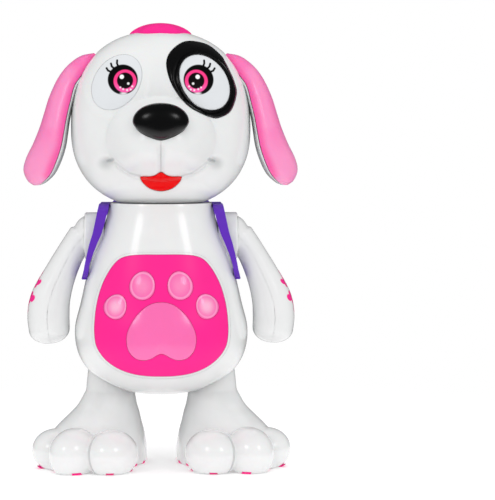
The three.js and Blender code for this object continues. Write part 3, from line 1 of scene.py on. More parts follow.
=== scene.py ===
"""Looks of the robot dog toy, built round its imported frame.

Every form is worked out in millimetres in the dog's own frame. Its Y = 0 is the plane of the neck, of the
ears and of the seam between the front and rear shells. Finished pieces are in metres in the part's frame.
"""

import json
import logging
import math
from collections.abc import Callable, Iterable, Sequence
from dataclasses import dataclass
from enum import Enum
from functools import reduce

import bmesh
import bpy
import numpy as np
from mathutils import Matrix, Vector


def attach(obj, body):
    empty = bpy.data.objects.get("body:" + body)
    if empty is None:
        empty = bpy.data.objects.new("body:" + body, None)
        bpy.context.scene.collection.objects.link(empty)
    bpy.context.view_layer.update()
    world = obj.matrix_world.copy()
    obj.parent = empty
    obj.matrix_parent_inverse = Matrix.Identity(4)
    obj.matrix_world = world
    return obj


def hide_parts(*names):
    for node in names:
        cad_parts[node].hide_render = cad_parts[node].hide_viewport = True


log = logging.getLogger("robot_dog")
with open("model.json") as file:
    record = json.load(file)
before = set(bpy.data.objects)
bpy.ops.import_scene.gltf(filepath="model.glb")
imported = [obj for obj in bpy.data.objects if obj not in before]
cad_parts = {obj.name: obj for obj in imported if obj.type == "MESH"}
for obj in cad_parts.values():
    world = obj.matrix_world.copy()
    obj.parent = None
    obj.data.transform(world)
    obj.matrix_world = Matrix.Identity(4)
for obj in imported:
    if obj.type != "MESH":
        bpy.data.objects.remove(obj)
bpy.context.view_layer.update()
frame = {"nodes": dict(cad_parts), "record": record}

Array = np.ndarray
Surface = Callable[[Array, Array], Array]

MILLIMETRE = 0.001
SEAM_Y = 4.0
GAP = 0.3
WELD = 0.0005
FAR = 150.0
FULL_TURN = 2 * math.pi
RING_STEPS = 96
SHARP = 0.01
IN_PLANE = 0.02
SMOOTHING_SHARE = 0.6
WELL_FLOOR = 8.9
WELL_RADIUS = 3.0
POST_RADIUS = 4.4
SHOULDER = (0.0, 147.5)
CUP_RADIUS = 15.2
CUP_INNER = 36.8
HUB_RADIUS = 6.0
HIP_X = 33.0
FOOT_TURN = 32.0
INNER_TOE = (11.8, 118.3), (8.1, 9.1), 14.0
OUTER_TOE = (28.7, 105.0), (7.1, 8.1), 28.0


class Side(Enum):
    """The dog's left and right, with the sign of their X."""

    LEFT = 1
    RIGHT = -1

    @property
    def word(self) -> str:
        """The side's name as it stands in node names."""
        return self.name.lower()


class Axis(Enum):
    """The three axes by their place in a point."""

    X = 0
    Y = 1
    Z = 2


def signed_power(value: Array, power: float) -> Array:
    """Raises the size of a number to a power and keeps its sign."""
    return np.sign(value) * np.abs(value) ** power


def round_steps(count: int) -> Array:
    """Angles that go evenly once round."""
    return np.linspace(0, FULL_TURN, count, endpoint=False)


def squared_circle(squareness: float, steps: int = RING_STEPS) -> tuple[Array, Array]:
    """The two coordinates of a circle that is pulled toward a square."""
    angle, power = round_steps(steps), 2 / squareness
    return signed_power(np.cos(angle), power), signed_power(np.sin(angle), power)


def circle_at(middle: Sequence[float], radius: float, angle: Array) -> Array:
    """The points of a circle at some angles."""
    return np.stack([middle[0] + radius * np.cos(angle), middle[1] + radius * np.sin(angle)], axis=1)


def ring_at(x: Array | float, y: Array | float, z: Array | float) -> Array:
    """Points from their X, Y and Z, where a single number holds for all of them."""
    return np.stack(np.broadcast_arrays(x, y, z), axis=1)


def smooth_step(value: Array, low: float, high: float) -> Array:
    """Rises smoothly from 0 at low to 1 at high."""
    share = np.clip((value - low) / (high - low), 0.0, 1.0)
    return share * share * (3.0 - 2.0 * share)


def bell(value: Array, middle: float, spread: float) -> Array:
    """A bell of height 1 round a middle value."""
    return np.exp(-(((value - middle) / spread) ** 2))


def curve_through(points: Sequence[Sequence[float]], count: int, closed: bool = False) -> Array:
    """Lays a smooth curve through points.

    Args:
        points: the points it runs through, of any dimension.
        count: how many points to return.
        closed: whether the curve comes back to its start.

    Returns:
        The curve's points, one row each.
    """
    given = np.asarray(points, float)
    size = len(given)
    if closed:
        padded = np.concatenate([given[-1:], given, given[:2]])
        at = np.linspace(0, size, count, endpoint=False)
        first = np.minimum(at.astype(int), size - 1)
    else:
        padded = np.concatenate([[2 * given[0] - given[1]], given, [2 * given[-1] - given[-2]]])
        at = np.linspace(0, size - 1, count)
        first = np.minimum(at.astype(int), size - 2)
    t = (at - first)[:, None]
    a, b, c, d = (padded[first + i] for i in range(4))
    return 0.5 * (2 * b + (c - a) * t + (2 * a - 5 * b + 4 * c - d) * t**2 + (3 * b - a - 3 * c + d) * t**3)


def oval(
    centre: tuple[float, float],
    halves: tuple[float, float],
    tilt: float = 0.0,
    egg: float = 0.0,
    steps: int = RING_STEPS,
) -> Array:
    """Draws an oval outline.

    Args:
        centre: its middle.
        halves: its half width and half height before it is tilted.
        tilt: its turn in degrees, counter-clockwise.
        egg: how much narrower its top is than its bottom.
        steps: the number of points.

    Returns:
        The outline's points.
    """
    angle = round_steps(steps)
    u = halves[0] * np.cos(angle) * (1 - egg * np.sin(angle))
    v = halves[1] * np.sin(angle)
    turn = math.radians(tilt)
    x = centre[0] + u * math.cos(turn) - v * math.sin(turn)
    return np.stack([x, centre[1] + u * math.sin(turn) + v * math.cos(turn)], axis=1)


def rounded_box(half: float, low: float, high: float, corner: float, steps: int = 14) -> Array:
    """Draws a box outline with round corners, centred on the first axis.

    Args:
        half: its half width.
        low: its lowest place.
        high: its highest place.
        corner: the radius of its corners.
        steps: points on each corner.

    Returns:
        The outline's points.
    """
    corner = max(corner, WELD)
    middles = [(half, high), (-half, high), (-half, low), (half, low)]
    parts = []
    for i, (x, z) in enumerate(middles):
        angle = np.linspace(0, math.pi / 2, steps) + i * math.pi / 2
        centre = (x - math.copysign(corner, x), z - corner if z == high else z + corner)
        parts.append(circle_at(centre, corner, angle))
    return np.concatenate(parts)


def mirrored_outline(
    widths: Sequence[float],
    heights: Sequence[float],
    half: float,
    low: float,
    high: float,
    steps: int = 180,
) -> Array:
    """Draws an outline that is even left to right.

    Args:
        widths: shares of the half width, from the top middle down to the bottom middle.
        heights: shares of the height at those places.
        half: the half width.
        low: the lowest height.
        high: the highest height.
        steps: the number of points.

    Returns:
        The outline's points.
    """
    right = [(half * w, low + (high - low) * h) for w, h in zip(widths, heights)]
    left = [(-x, z) for x, z in reversed(right[1:-1])]
    return curve_through(right + left, steps, closed=True)


def evenly(outline: Array, count: int) -> Array:
    """Spaces an outline's points evenly, so that its straight sides can bend with a surface.

    Args:
        outline: the outline.
        count: the number of points.

    Returns:
        The outline with evenly spaced points.
    """
    closed = np.concatenate([outline, outline[:1]])
    reach = np.concatenate([[0.0], np.cumsum(np.linalg.norm(np.diff(closed, axis=0), axis=1))])
    at = np.linspace(0, reach[-1], count, endpoint=False)
    return np.stack([np.interp(at, reach, closed[:, i]) for i in (0, 1)], axis=1)


def grown(outline: Array, amount: float) -> Array:
    """Moves an outline's points away from its middle by an amount.

    Args:
        outline: the outline.
        amount: how far each point moves, inward if it is below 0.

    Returns:
        The new outline.
    """
    middle = outline.mean(axis=0)
    out = outline - middle
    return middle + out * (1 + amount / np.linalg.norm(out, axis=1, keepdims=True))


class Solid:
    """A closed mesh in millimetres, while it is being shaped."""

    def __init__(self, bm: bmesh.types.BMesh) -> None:
        """Takes over a mesh and turns its faces outward."""
        self.bm = bm
        bmesh.ops.recalc_face_normals(bm, faces=bm.faces)

    @classmethod
    def rings(cls, rings: Sequence[Array]) -> "Solid":
        """Skins closed rings of points and closes both ends.

        Args:
            rings: the rings, each with a row for every point.

        Returns:
            The closed solid.
        """
        rings = np.array(rings)
        rows, columns = rings.shape[0] - 1, rings.shape[1]
        bm = bmesh.new()
        bmesh.ops.create_grid(bm, x_segments=columns, y_segments=rows, size=0.5)
        wrapped = np.concatenate([rings, rings[:, :1]], axis=1)
        for vert in bm.verts:
            vert.co = wrapped[round((vert.co.y + 0.5) * rows), round((vert.co.x + 0.5) * columns)]
        bmesh.ops.remove_doubles(bm, verts=bm.verts, dist=WELD)
        bmesh.ops.holes_fill(bm, edges=bm.edges, sides=0)
        return cls(bm)

    @classmethod
    def banded(cls, outline: Callable[[float], Array], bands: Iterable[tuple[float, float]]) -> "Solid":
        """Skins an outline in X and Z that is drawn in by its own amount at each Y.

        Args:
            outline: gives the outline for an inset.
            bands: the inset and the Y of each ring.

        Returns:
            The closed solid.
        """
        rings = []
        for inset, y in bands:
            x, z = outline(inset).T
            rings.append(ring_at(x, y, z))
        return cls.rings(rings)

    @classmethod
    def block(cls, low: Sequence[float], high: Sequence[float]) -> "Solid":
        """A plain block between two corners.

        Args:
            low: the corner with the smallest X, Y and Z.
            high: the corner with the largest.

        Returns:
            The block.
        """
        bm = bmesh.new()
        low, high = Vector(low), Vector(high)
        place = Matrix.Translation((low + high) / 2) @ Matrix.Diagonal((*(high - low), 1.0))
        bmesh.ops.create_cube(bm, size=1.0, matrix=place)
        return cls(bm)

    @classmethod
    def slab(cls, axis: Axis, low: float, high: float) -> "Solid":
        """All that lies between two places on an axis, as far as the dog reaches.

        Args:
            axis: the axis.
            low: where it starts on that axis.
            high: where it ends on that axis.

        Returns:
            The slab.
        """
        corners = [[-FAR, -FAR, -FAR], [FAR, FAR, 2 * FAR]]
        corners[0][axis.value], corners[1][axis.value] = low, high
        return cls.block(*corners)

    @classmethod
    def prism(cls, outline: Array, axis: Axis, low: float, high: float) -> "Solid":
        """Extrudes an outline.

        Args:
            outline: points in the two other axes, in their order.
            axis: the axis to extrude along.
            low: where it starts on that axis.
            high: where it ends on that axis.

        Returns:
            The prism.
        """
        bm = bmesh.new()
        bm.faces.new([bm.verts.new(np.insert(point, axis.value, low)) for point in outline])
        made = bmesh.ops.extrude_face_region(bm, geom=bm.faces[:])
        moved = [item for item in made["geom"] if isinstance(item, bmesh.types.BMVert)]
        shift = Vector()
        shift[axis.value] = high - low
        bmesh.ops.translate(bm, verts=moved, vec=shift)
        bmesh.ops.holes_fill(bm, edges=bm.edges, sides=0)
        return cls(bm)

    @classmethod
    def rod(cls, axis: Axis, radius: float, low: float, high: float, centre: tuple[float, float]) -> "Solid":
        """A round bar along an axis, centred on a point of the two other axes."""
        return cls.prism(oval(centre, (radius, radius), steps=64), axis, low, high)

    @classmethod
    def ball(cls, radius: float) -> "Solid":
        """A ball round the origin.

        Args:
            radius: its radius.

        Returns:
            The ball.
        """
        bm = bmesh.new()
        bmesh.ops.create_uvsphere(bm, u_segments=64, v_segments=40, radius=radius)
        return cls(bm)

    @classmethod
    def laid(
        cls,
        outline: Array,
        surface: Surface,
        facing: float,
        proud: float,
        sink: float,
        round_edge: float = 0.4,
        dome: float = 0.0,
        rows: int = 16,
    ) -> "Solid":
        """Lays a plate on a curved surface.

        Args:
            outline: the plate's outline in X and Z.
            surface: the Y of the surface at an X and a Z.
            facing: -1 for the dog's front, 1 for its rear.
            proud: how far the plate stands out.
            sink: how deep it goes in.
            round_edge: the radius of its front edge.
            dome: how much further its middle stands out.
            rows: rings between its middle and its edge.

        Returns:
            The plate.
        """
        middle = outline.mean(axis=0)
        plan = [(share, round_edge, proud + dome * (1 - share**2)) for share in np.linspace(0, 1, rows)]
        for bend in np.linspace(0, math.pi / 2, 6)[1:]:
            plan.append((1, round_edge * (1 - math.sin(bend)), proud - round_edge * (1 - math.cos(bend))))
        plan += [(share, 0.0, -sink) for share in np.linspace(1, 0, 4)]
        rings = []
        for share, inset, height in plan:
            flat = middle + (grown(outline, -inset) - middle) * share
            y = surface(flat[:, 0], flat[:, 1]) + facing * height
            rings.append(ring_at(flat[:, 0], y, flat[:, 1]))
        return cls.rings(rings)

    @classmethod
    def bed(cls, outline: Array, surface: Surface, facing: float, depth: float, reach: float) -> "Solid":
        """The room for a plate that lies in a curved surface.

        Args:
            outline: the room's outline in X and Z.
            surface: the Y of the surface at an X and a Z.
            facing: -1 for the dog's front, 1 for its rear.
            depth: how deep it goes in.
            reach: how far it stands out, past all that it is cut from.

        Returns:
            The room, with sharp edges.
        """
        return cls.laid(outline, surface, facing, reach, depth, SHARP)

    def copy(self) -> "Solid":
        """A second solid of the same shape."""
        return Solid(self.bm.copy())

    def mirrored(self) -> "Solid":
        """The same solid on the dog's other side."""
        other = self.copy()
        return other.moved(Matrix.Diagonal((-1.0, 1.0, 1.0, 1.0)))

    def on(self, side: Side) -> "Solid":
        """This solid, made for the left, on the given side."""
        return self.copy() if side is Side.LEFT else self.mirrored()

    def moved(self, matrix: Matrix) -> "Solid":
        """Moves the solid and returns it.

        Args:
            matrix: the move, turn or scale. Its faces stay outward if it mirrors.

        Returns:
            This solid.
        """
        self.bm.transform(matrix)
        if matrix.is_negative:
            bmesh.ops.reverse_faces(self.bm, faces=self.bm.faces)
        self.bm.normal_update()
        return self

    def turned(self, degrees: float, axis: Axis, centre: Sequence[float]) -> "Solid":
        """Turns the solid about an axis through a point and returns it."""
        there = Matrix.Translation(Vector(centre))
        return self.moved(there @ Matrix.Rotation(math.radians(degrees), 4, axis.name) @ there.inverted())

    def _mesh_object(self, name: str) -> bpy.types.Object:
        """Puts the solid in the scene for a moment.

        Args:
            name: the object's name.

        Returns:
            The object.
        """
        mesh = bpy.data.meshes.new(name)
        self.bm.to_mesh(mesh)
        made = bpy.data.objects.new(name, mesh)
        bpy.context.scene.collection.objects.link(made)
        return made

    def _take(self, made: bpy.types.Object, spent: Sequence[bpy.types.Object]) -> "Solid":
        """Reads an object's shape, with its modifiers, back into the solid.

        Args:
            made: the object to read.
            spent: objects that aren't needed after it.

        Returns:
            This solid.
        """
        graph = bpy.context.evaluated_depsgraph_get()
        result = bpy.data.meshes.new_from_object(made.evaluated_get(graph))
        self.bm.clear()
        self.bm.from_mesh(result)
        bpy.data.meshes.remove(result)
        for item in (made, *spent):
            mesh = item.data
            bpy.data.objects.remove(item)
            bpy.data.meshes.remove(mesh)
        return self

    def _combined(self, operation: str, others: Sequence["Solid"]) -> "Solid":
        """Joins, cuts or meets the solid with others, one after another.

        Args:
            operation: DIFFERENCE, UNION or INTERSECT.
            others: the solids it is combined with.

        Returns:
            This solid.
        """
        base = self._mesh_object("base")
        tools = [other._mesh_object("tool") for other in others]
        for tool in tools:
            step = base.modifiers.new("combine", "BOOLEAN")
            step.operation = operation
            step.solver = "MANIFOLD"
            step.object = tool
        return self._take(base, tools)

    def cut(self, *others: "Solid") -> "Solid":
        """Takes other solids away and returns this one."""
        return self._combined("DIFFERENCE", others)

    def join(self, *others: "Solid") -> "Solid":
        """Adds other solids and returns this one."""
        return self._combined("UNION", others)

    def meet(self, *others: "Solid") -> "Solid":
        """Keeps what is also in the others and returns this one."""
        return self._combined("INTERSECT", others)

    def beside(self, *others: "Solid") -> "Solid":
        """Adds other solids as they are, without joining them.

        Args:
            *others: the solids to add.

        Returns:
            This solid.
        """
        for other in others:
            mesh = bpy.data.meshes.new("beside")
            other.bm.to_mesh(mesh)
            self.bm.from_mesh(mesh)
            bpy.data.meshes.remove(mesh)
        return self

    def melted(self, cell: float, smoothing: int) -> "Solid":
        """Runs overlapping forms into one soft skin.

        Args:
            cell: the size of the new mesh's cells.
            smoothing: how often the skin is smoothed.

        Returns:
            This solid.
        """
        base = self._mesh_object("base")
        skin = base.modifiers.new("skin", "REMESH")
        skin.mode = "VOXEL"
        skin.voxel_size = cell
        soften = base.modifiers.new("soften", "SMOOTH")
        soften.factor = SMOOTHING_SHARE
        soften.iterations = smoothing
        return self._take(base, ())

    def rounded(self, radius: float, axis: Axis, place: float) -> "Solid":
        """Rounds the sharp edges that lie in one plane across an axis.

        Args:
            radius: the radius of the rounding.
            axis: the axis.
            place: where the plane stands on it.

        Returns:
            This solid.
        """

        def chosen(edge: bmesh.types.BMEdge) -> bool:
            """Says whether an edge lies in the plane and is sharp."""
            there = all(abs(vert.co[axis.value] - place) < IN_PLANE for vert in edge.verts)
            return there and edge.calc_face_angle(0.0) > 1.0

        self.bm.normal_update()
        edges = [edge for edge in self.bm.edges if chosen(edge)]
        options = {"segments": 4, "profile": 0.5, "affect": "EDGES", "material": -1, "clamp_overlap": True}
        bmesh.ops.bevel(self.bm, geom=edges, offset=radius, **options)
        return self

    def finish(
        self,
        name: str,
        finish: "Finish",
        body: str,
        nodes: Sequence[str],
        crease: float = 34.0,
    ) -> None:
        """Writes the solid as a piece of the toy.

        Args:
            name: the piece's name.
            finish: what it is made of.
            body: the frame's body it moves with.
            nodes: the frame's nodes it stands for.
            crease: the angle in degrees from which an edge looks sharp.
        """
        self.bm.transform(Matrix.Scale(MILLIMETRE, 4) @ Matrix.Translation((0.0, SEAM_Y, 0.0)))
        limit = math.radians(crease)
        for face in self.bm.faces:
            face.smooth = True
        for edge in self.bm.edges:
            edge.smooth = edge.calc_face_angle(0.0) < limit
        mesh = bpy.data.meshes.new(name)
        self.bm.to_mesh(mesh)
        self.bm.free()
        mesh.materials.append(finish.material())
        made = bpy.data.objects.new(name, mesh)
        bpy.context.scene.collection.objects.link(made)
        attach(made, body)
        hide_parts(*nodes)
        log.info("%s: %d faces, on %s", name, len(mesh.polygons), body)


# Shaders


class Signal:
    """A number inside a shader, which adds and multiplies like one."""

    def __init__(self, graph: "Graph", socket: bpy.types.NodeSocket) -> None:
        """Wraps a socket of the graph."""
        self.graph = graph
        self.socket = socket

    def __add__(self, other: "Operand") -> "Signal":
        """Their sum."""
        return self.graph.math("ADD", self, other)

    def __sub__(self, other: "Operand") -> "Signal":
        """Their difference."""
        return self.graph.math("SUBTRACT", self, other)

    def __rsub__(self, other: "Operand") -> "Signal":
        """The other number less this one."""
        return self.graph.math("SUBTRACT", other, self)

    def __mul__(self, other: "Operand") -> "Signal":
        """Their product."""
        return self.graph.math("MULTIPLY", self, other)

    def __truediv__(self, other: "Operand") -> "Signal":
        """This number over the other."""
        return self.graph.math("DIVIDE", self, other)

    def __abs__(self) -> "Signal":
        """Its size."""
        return self.graph.math("ABSOLUTE", self)

    __radd__ = __add__
    __rmul__ = __mul__

    def most(self, other: "Operand") -> "Signal":
        """The larger of both."""
        return self.graph.math("MAXIMUM", self, other)

    def least(self, other: "Operand") -> "Signal":
        """The smaller of both."""
        return self.graph.math("MINIMUM", self, other)

    def rise(self, low: float, high: float) -> "Signal":
        """Goes smoothly from 0 at low to 1 at high.

        Args:
            low: where it starts.
            high: where it ends.

        Returns:
            The new number.
        """
        settings = {"interpolation_type": "SMOOTHSTEP"}
        made = self.graph.node("ShaderNodeMapRange", settings, {0: self, 1: low, 2: high, 3: 0.0, 4: 1.0})
        return Signal(self.graph, made.outputs[0])

    def fall(self, low: float, high: float) -> "Signal":
        """Goes smoothly from 1 at low to 0 at high."""
        return 1.0 - self.rise(low, high)

    def near(self, place: float, width: float) -> "Signal":
        """A soft line of a width round a place."""
        return abs(self - place).fall(0.3 * width, 0.7 * width)


def strongest(signals: Iterable[Signal]) -> Signal:
    """The largest of several numbers."""
    return reduce(Signal.most, signals)


Operand = Signal | float
Colour = tuple[float, float, float]
Paint = bpy.types.NodeSocket | Colour


def linear(red: float, green: float, blue: float) -> Colour:
    """Turns a screen colour of 0 to 255 into linear light.

    Args:
        red: its red.
        green: its green.
        blue: its blue.

    Returns:
        The colour in linear light, from 0 to 1.
    """

    def channel(value: float) -> float:
        """One channel of it."""
        share = value / 255
        return share / 12.92 if share <= 0.04045 else ((share + 0.055) / 1.055) ** 2.4

    return channel(red), channel(green), channel(blue)


class Graph:
    """The node graph of one material."""

    def __init__(self, name: str) -> None:
        """Starts an empty material.

        Args:
            name: the material's name.
        """
        self.material = bpy.data.materials.new(name)
        self.material.use_nodes = True
        self.tree = self.material.node_tree
        self.tree.nodes.clear()
        place = self.node("ShaderNodeTexCoord").outputs["Object"]
        per_metre = 1 / MILLIMETRE
        settings = {"vector_type": "POINT"}
        inputs = {"Vector": place, "Location": (0.0, -SEAM_Y, 0.0), "Scale": (per_metre,) * 3}
        self.place = self.node("ShaderNodeMapping", settings, inputs).outputs[0]
        apart = self.node("ShaderNodeSeparateXYZ", None, {0: self.place})
        self.x, self.y, self.z = (Signal(self, apart.outputs[i]) for i in range(3))

    def node(self, kind: str, settings: dict | None = None, inputs: dict | None = None) -> bpy.types.Node:
        """Adds a node.

        Args:
            kind: its type.
            settings: its settings, which are set first.
            inputs: values, signals or sockets for its inputs, by name or place.

        Returns:
            The node.
        """
        made = self.tree.nodes.new(kind)
        for key, value in (settings or {}).items():
            setattr(made, key, value)
        for key, value in (inputs or {}).items():
            source = value.socket if isinstance(value, Signal) else value
            if isinstance(source, bpy.types.NodeSocket):
                self.tree.links.new(source, made.inputs[key])
            else:
                made.inputs[key].default_value = source
        return made

    def math(self, operation: str, *values: Operand) -> Signal:
        """The result of one sum on numbers."""
        made = self.node("ShaderNodeMath", {"operation": operation}, dict(enumerate(values)))
        return Signal(self, made.outputs[0])

    def noise(self, size: float, detail: float = 2.0) -> Signal:
        """Soft random patches about as wide as size."""
        inputs = {"Vector": self.place, "Scale": 1 / size, "Detail": detail}
        return Signal(self, self.node("ShaderNodeTexNoise", None, inputs).outputs[0])

    def distance(self, x: float, z: float) -> Signal:
        """How far a point is from a place in X and Z."""
        across, up = self.x - x, self.z - z
        return self.math("SQRT", across * across + up * up)

    def oval_share(self, centre: tuple[float, float], halves: tuple[float, float], tilt: float) -> Signal:
        """How far out a point lies from an oval's middle, where its edge is 1.

        Args:
            centre: the oval's middle in X and Z.
            halves: its half width and half height.
            tilt: its turn in degrees.

        Returns:
            The share.
        """
        across, up = self.x - centre[0], self.z - centre[1]
        turn = math.radians(tilt)
        u = (across * math.cos(turn) + up * math.sin(turn)) / halves[0]
        v = (up * math.cos(turn) - across * math.sin(turn)) / halves[1]
        return self.math("SQRT", u * u + v * v)

    def segment(self, start: tuple[float, float], end: tuple[float, float], sign: int = 1) -> Signal:
        """How far a point is from a line between two places in X and Z.

        Args:
            start: the line's first place.
            end: its last place.
            sign: 1 for the line as given, -1 for its mirror image.

        Returns:
            The distance.
        """
        (x0, z0), (x1, z1) = (sign * start[0], start[1]), (sign * end[0], end[1])
        length = math.hypot(x1 - x0, z1 - z0)
        ux, uz = (x1 - x0) / length, (z1 - z0) / length
        across, up = self.x - x0, self.z - z0
        along = (across * ux + up * uz).most(0.0).least(length)
        dx, dz = across - along * ux, up - along * uz
        return self.math("SQRT", dx * dx + dz * dz)

    def mix(self, under: Paint, over: Paint, share: Operand) -> bpy.types.NodeSocket:
        """Lays one colour over another.

        Args:
            under: the colour at share 0.
            over: the colour at share 1.
            share: how much of it shows.

        Returns:
            The mixed colour's socket.
        """

        def paint(value: Paint) -> object:
            """A colour as the node takes it."""
            return (*value, 1.0) if isinstance(value, tuple) else value

        made = self.node("ShaderNodeMix", {"data_type": "RGBA"}, {0: share, 6: paint(under), 7: paint(over)})
        return made.outputs[2]


@dataclass(frozen=True)
class Finish:
    """A plastic or metal finish with faint unevenness."""

    name: str
    slot: str
    colour: Colour
    roughness: float = 0.22
    metallic: float = 0.0
    coat: float = 0.0
    coat_roughness: float = 0.06
    scatter: float = 0.0
    scatter_scale: float = 0.004
    specular: float = 0.5
    patch: float = 14.0
    unevenness: float = 0.02
    ripple: float = 0.02

    def paint(self, graph: Graph) -> bpy.types.NodeSocket:
        """The colour over the surface."""
        darker = tuple(channel * (1 - 3 * self.unevenness) for channel in self.colour)
        return graph.mix(darker, self.colour, graph.noise(self.patch))

    def polish(self, graph: Graph) -> Signal:
        """The roughness over the surface."""
        return graph.noise(self.patch / 4, 3.0) * (2 * self.unevenness) + (self.roughness - self.unevenness)

    def height(self, graph: Graph) -> Signal:
        """The fine relief over the surface, in millimetres."""
        return graph.noise(self.patch) * self.ripple

    def material(self) -> bpy.types.Material:
        """Makes the material, once for each name.

        Returns:
            The material.
        """
        known = bpy.data.materials.get(self.name)
        if known:
            return known
        graph = Graph(self.name)
        bump = graph.node("ShaderNodeBump", None, {"Distance": MILLIMETRE, "Height": self.height(graph)})
        inputs = {
            "Base Color": self.paint(graph),
            "Roughness": self.polish(graph),
            "Metallic": self.metallic,
            "Specular IOR Level": self.specular,
            "Coat Weight": self.coat,
            "Coat Roughness": self.coat_roughness,
            "Subsurface Weight": self.scatter,
            "Subsurface Scale": self.scatter_scale,
            "Normal": bump.outputs[0],
        }
        shader = graph.node("ShaderNodeBsdfPrincipled", None, inputs)
        graph.node("ShaderNodeOutputMaterial", None, {"Surface": shader.outputs[0]})
        return graph.material


WHITE = linear(238, 239, 239)
EYE_WHITE = linear(226, 229, 232)
BLACK = linear(8, 8, 9)
HOT_PINK = linear(255, 34, 146)
LENS_PINK = linear(255, 112, 182)
PURPLE = linear(97, 27, 194)
# Greys that are painted as shade: along the seam beside the ears, and in creases.
SEAM_SHADE_GREY = linear(128, 132, 134)
CREASE_SHADE_GREY = linear(150, 154, 155)


@dataclass(frozen=True)
class HeadFinish(Finish):
    """White plastic with soft shade in the seam beside the ears and in the creases of the mouth."""

    seam_y: float = -7.0
    seam_low: float = 196.0
    seam_high: float = 256.0
    hook: tuple = ((33.8, 196.3), (30.5, 197.2))
    hollow: tuple = (35.0, 195.0)
    lip: tuple = ((29.0, 195.6), (19.5, 188.8), (13.0, 187.2))

    def paint(self, graph: Graph) -> bpy.types.NodeSocket:
        """White, with painted shade in grey along the seam beside the ears and in the creases of the mouth.

        Args:
            graph: the material's graph.

        Returns:
            The colour's socket.
        """
        # Painted shade: a grey line along the seam beside each ear.
        line = graph.y.near(self.seam_y, 2.6) * graph.z.rise(self.seam_low, self.seam_low + 1.5)
        line = line * graph.z.fall(self.seam_high, self.seam_high + 6.0)
        colour = graph.mix(super().paint(graph), SEAM_SHADE_GREY, line)
        face = graph.y.fall(-24.0, -20.0)
        # Painted shade in the groove between the nose and the tongue.
        groove_shade = abs(graph.x).fall(0.15, 0.75) * graph.z.rise(189.0, 190.5) * graph.z.fall(206.0, 212.0) * 0.35
        colour = graph.mix(colour, CREASE_SHADE_GREY, groove_shade * face)
        for sign in (-1, 1):
            middle = (sign * self.hollow[0], self.hollow[1])
            # Painted shade in the hook and hollow of each dimple and along the smile creases.
            shades = (
                graph.segment(*self.hook, sign).fall(0.2, 2.0) * 0.55,
                graph.oval_share(middle, (7.0, 6.0), 0.0).fall(0.0, 1.0) * 0.4,
                graph.segment(*self.lip[:2], sign).fall(0.1, 1.1) * 0.22,
                graph.segment(*self.lip[1:], sign).fall(0.1, 1.1) * 0.35,
            )
            colour = graph.mix(colour, CREASE_SHADE_GREY, strongest(shades) * face)
        return colour


@dataclass(frozen=True)
class EyePrint(Finish):
    """The white of an eye with its printed iris, lights and lashes."""

    side: Side = Side.LEFT
    centre: tuple[float, float] = (23.8, 247.6)
    iris: float = 9.5
    ring_shift: tuple[float, float] = (-1.45, -1.0)
    ring_outer: float = 7.2
    ring_inner: float = 5.1
    edge: float = 0.35
    smudge: tuple[float, float] = (-0.6, -9.2)
    light: tuple[float, float, float] = (-0.6, 1.7, 1.35)
    dots: tuple = ((1.5, -5, 0.55), (-0.3, -6.1, 0.6), (-2.8, -6.7, 0.65), (-5, -6.3, 0.6), (-6, -4.4, 0.6))
    small_light: tuple[float, float, float] = (-3.5, -2.6, 0.75)
    lashes: tuple = (
        ((5.6, 5.4), (7.6, 5.0), (9.3, 5.7), (10.3, 7.3)),
        ((3.8, 6.8), (5.7, 7.2), (7.0, 8.4), (7.5, 10.2)),
        ((1.9, 7.8), (3.1, 8.8), (3.7, 10.3), (3.6, 12.2)),
    )

    def _at(self, across: float, up: float) -> tuple[float, float]:
        """A place given from the iris's middle, outward and up."""
        return self.side.value * (self.centre[0] + across), self.centre[1] + up

    def _disc(self, graph: Graph, place: tuple[float, float], radius: float) -> Signal:
        """A printed disc."""
        return graph.distance(*place).fall(radius - self.edge, radius + self.edge)

    def _lashes(self, graph: Graph) -> Signal:
        """The three curved lashes at the iris's upper outer edge.

        Args:
            graph: the material's graph.

        Returns:
            The share of ink.
        """
        ink = []
        for stroke in self.lashes:
            points = [self._at(*point) for point in stroke]
            ink += [graph.segment(start, end).fall(0.4, 0.9) for start, end in zip(points, points[1:])]
        return strongest(ink)

    def paint(self, graph: Graph) -> bpy.types.NodeSocket:
        """The print, from the white up to the small lights.

        Args:
            graph: the material's graph.

        Returns:
            The colour's socket.
        """
        middle, (ring_x, ring_z) = self._at(0, 0), self._at(*self.ring_shift)
        iris = self._disc(graph, middle, self.iris)
        colour = graph.mix(super().paint(graph), BLACK, self._lashes(graph))
        colour = graph.mix(colour, BLACK, iris)
        smudge = graph.oval_share(self._at(*self.smudge), (3.4, 2.3), 0).fall(0.2, 1.0) * iris
        colour = graph.mix(colour, linear(225, 222, 225), smudge)
        rose = graph.mix(linear(255, 60, 138), linear(255, 92, 172), (graph.z - ring_z).fall(-6.0, 1.0))
        colour = graph.mix(colour, rose, self._disc(graph, (ring_x, ring_z), self.ring_outer))
        dark = self._disc(graph, (ring_x, ring_z + 0.3), self.ring_inner)
        colour = graph.mix(colour, linear(14, 4, 8), dark)
        for across, up, size in self.dots:
            colour = graph.mix(colour, linear(255, 225, 240), self._disc(graph, self._at(across, up), size))
        spot = (middle[0] + self.light[0], middle[1] + self.light[1])
        colour = graph.mix(colour, linear(255, 255, 255), self._disc(graph, spot, self.light[2]))
        across, up, size = self.small_light
        return graph.mix(colour, linear(240, 240, 240), self._disc(graph, self._at(across, up), size))


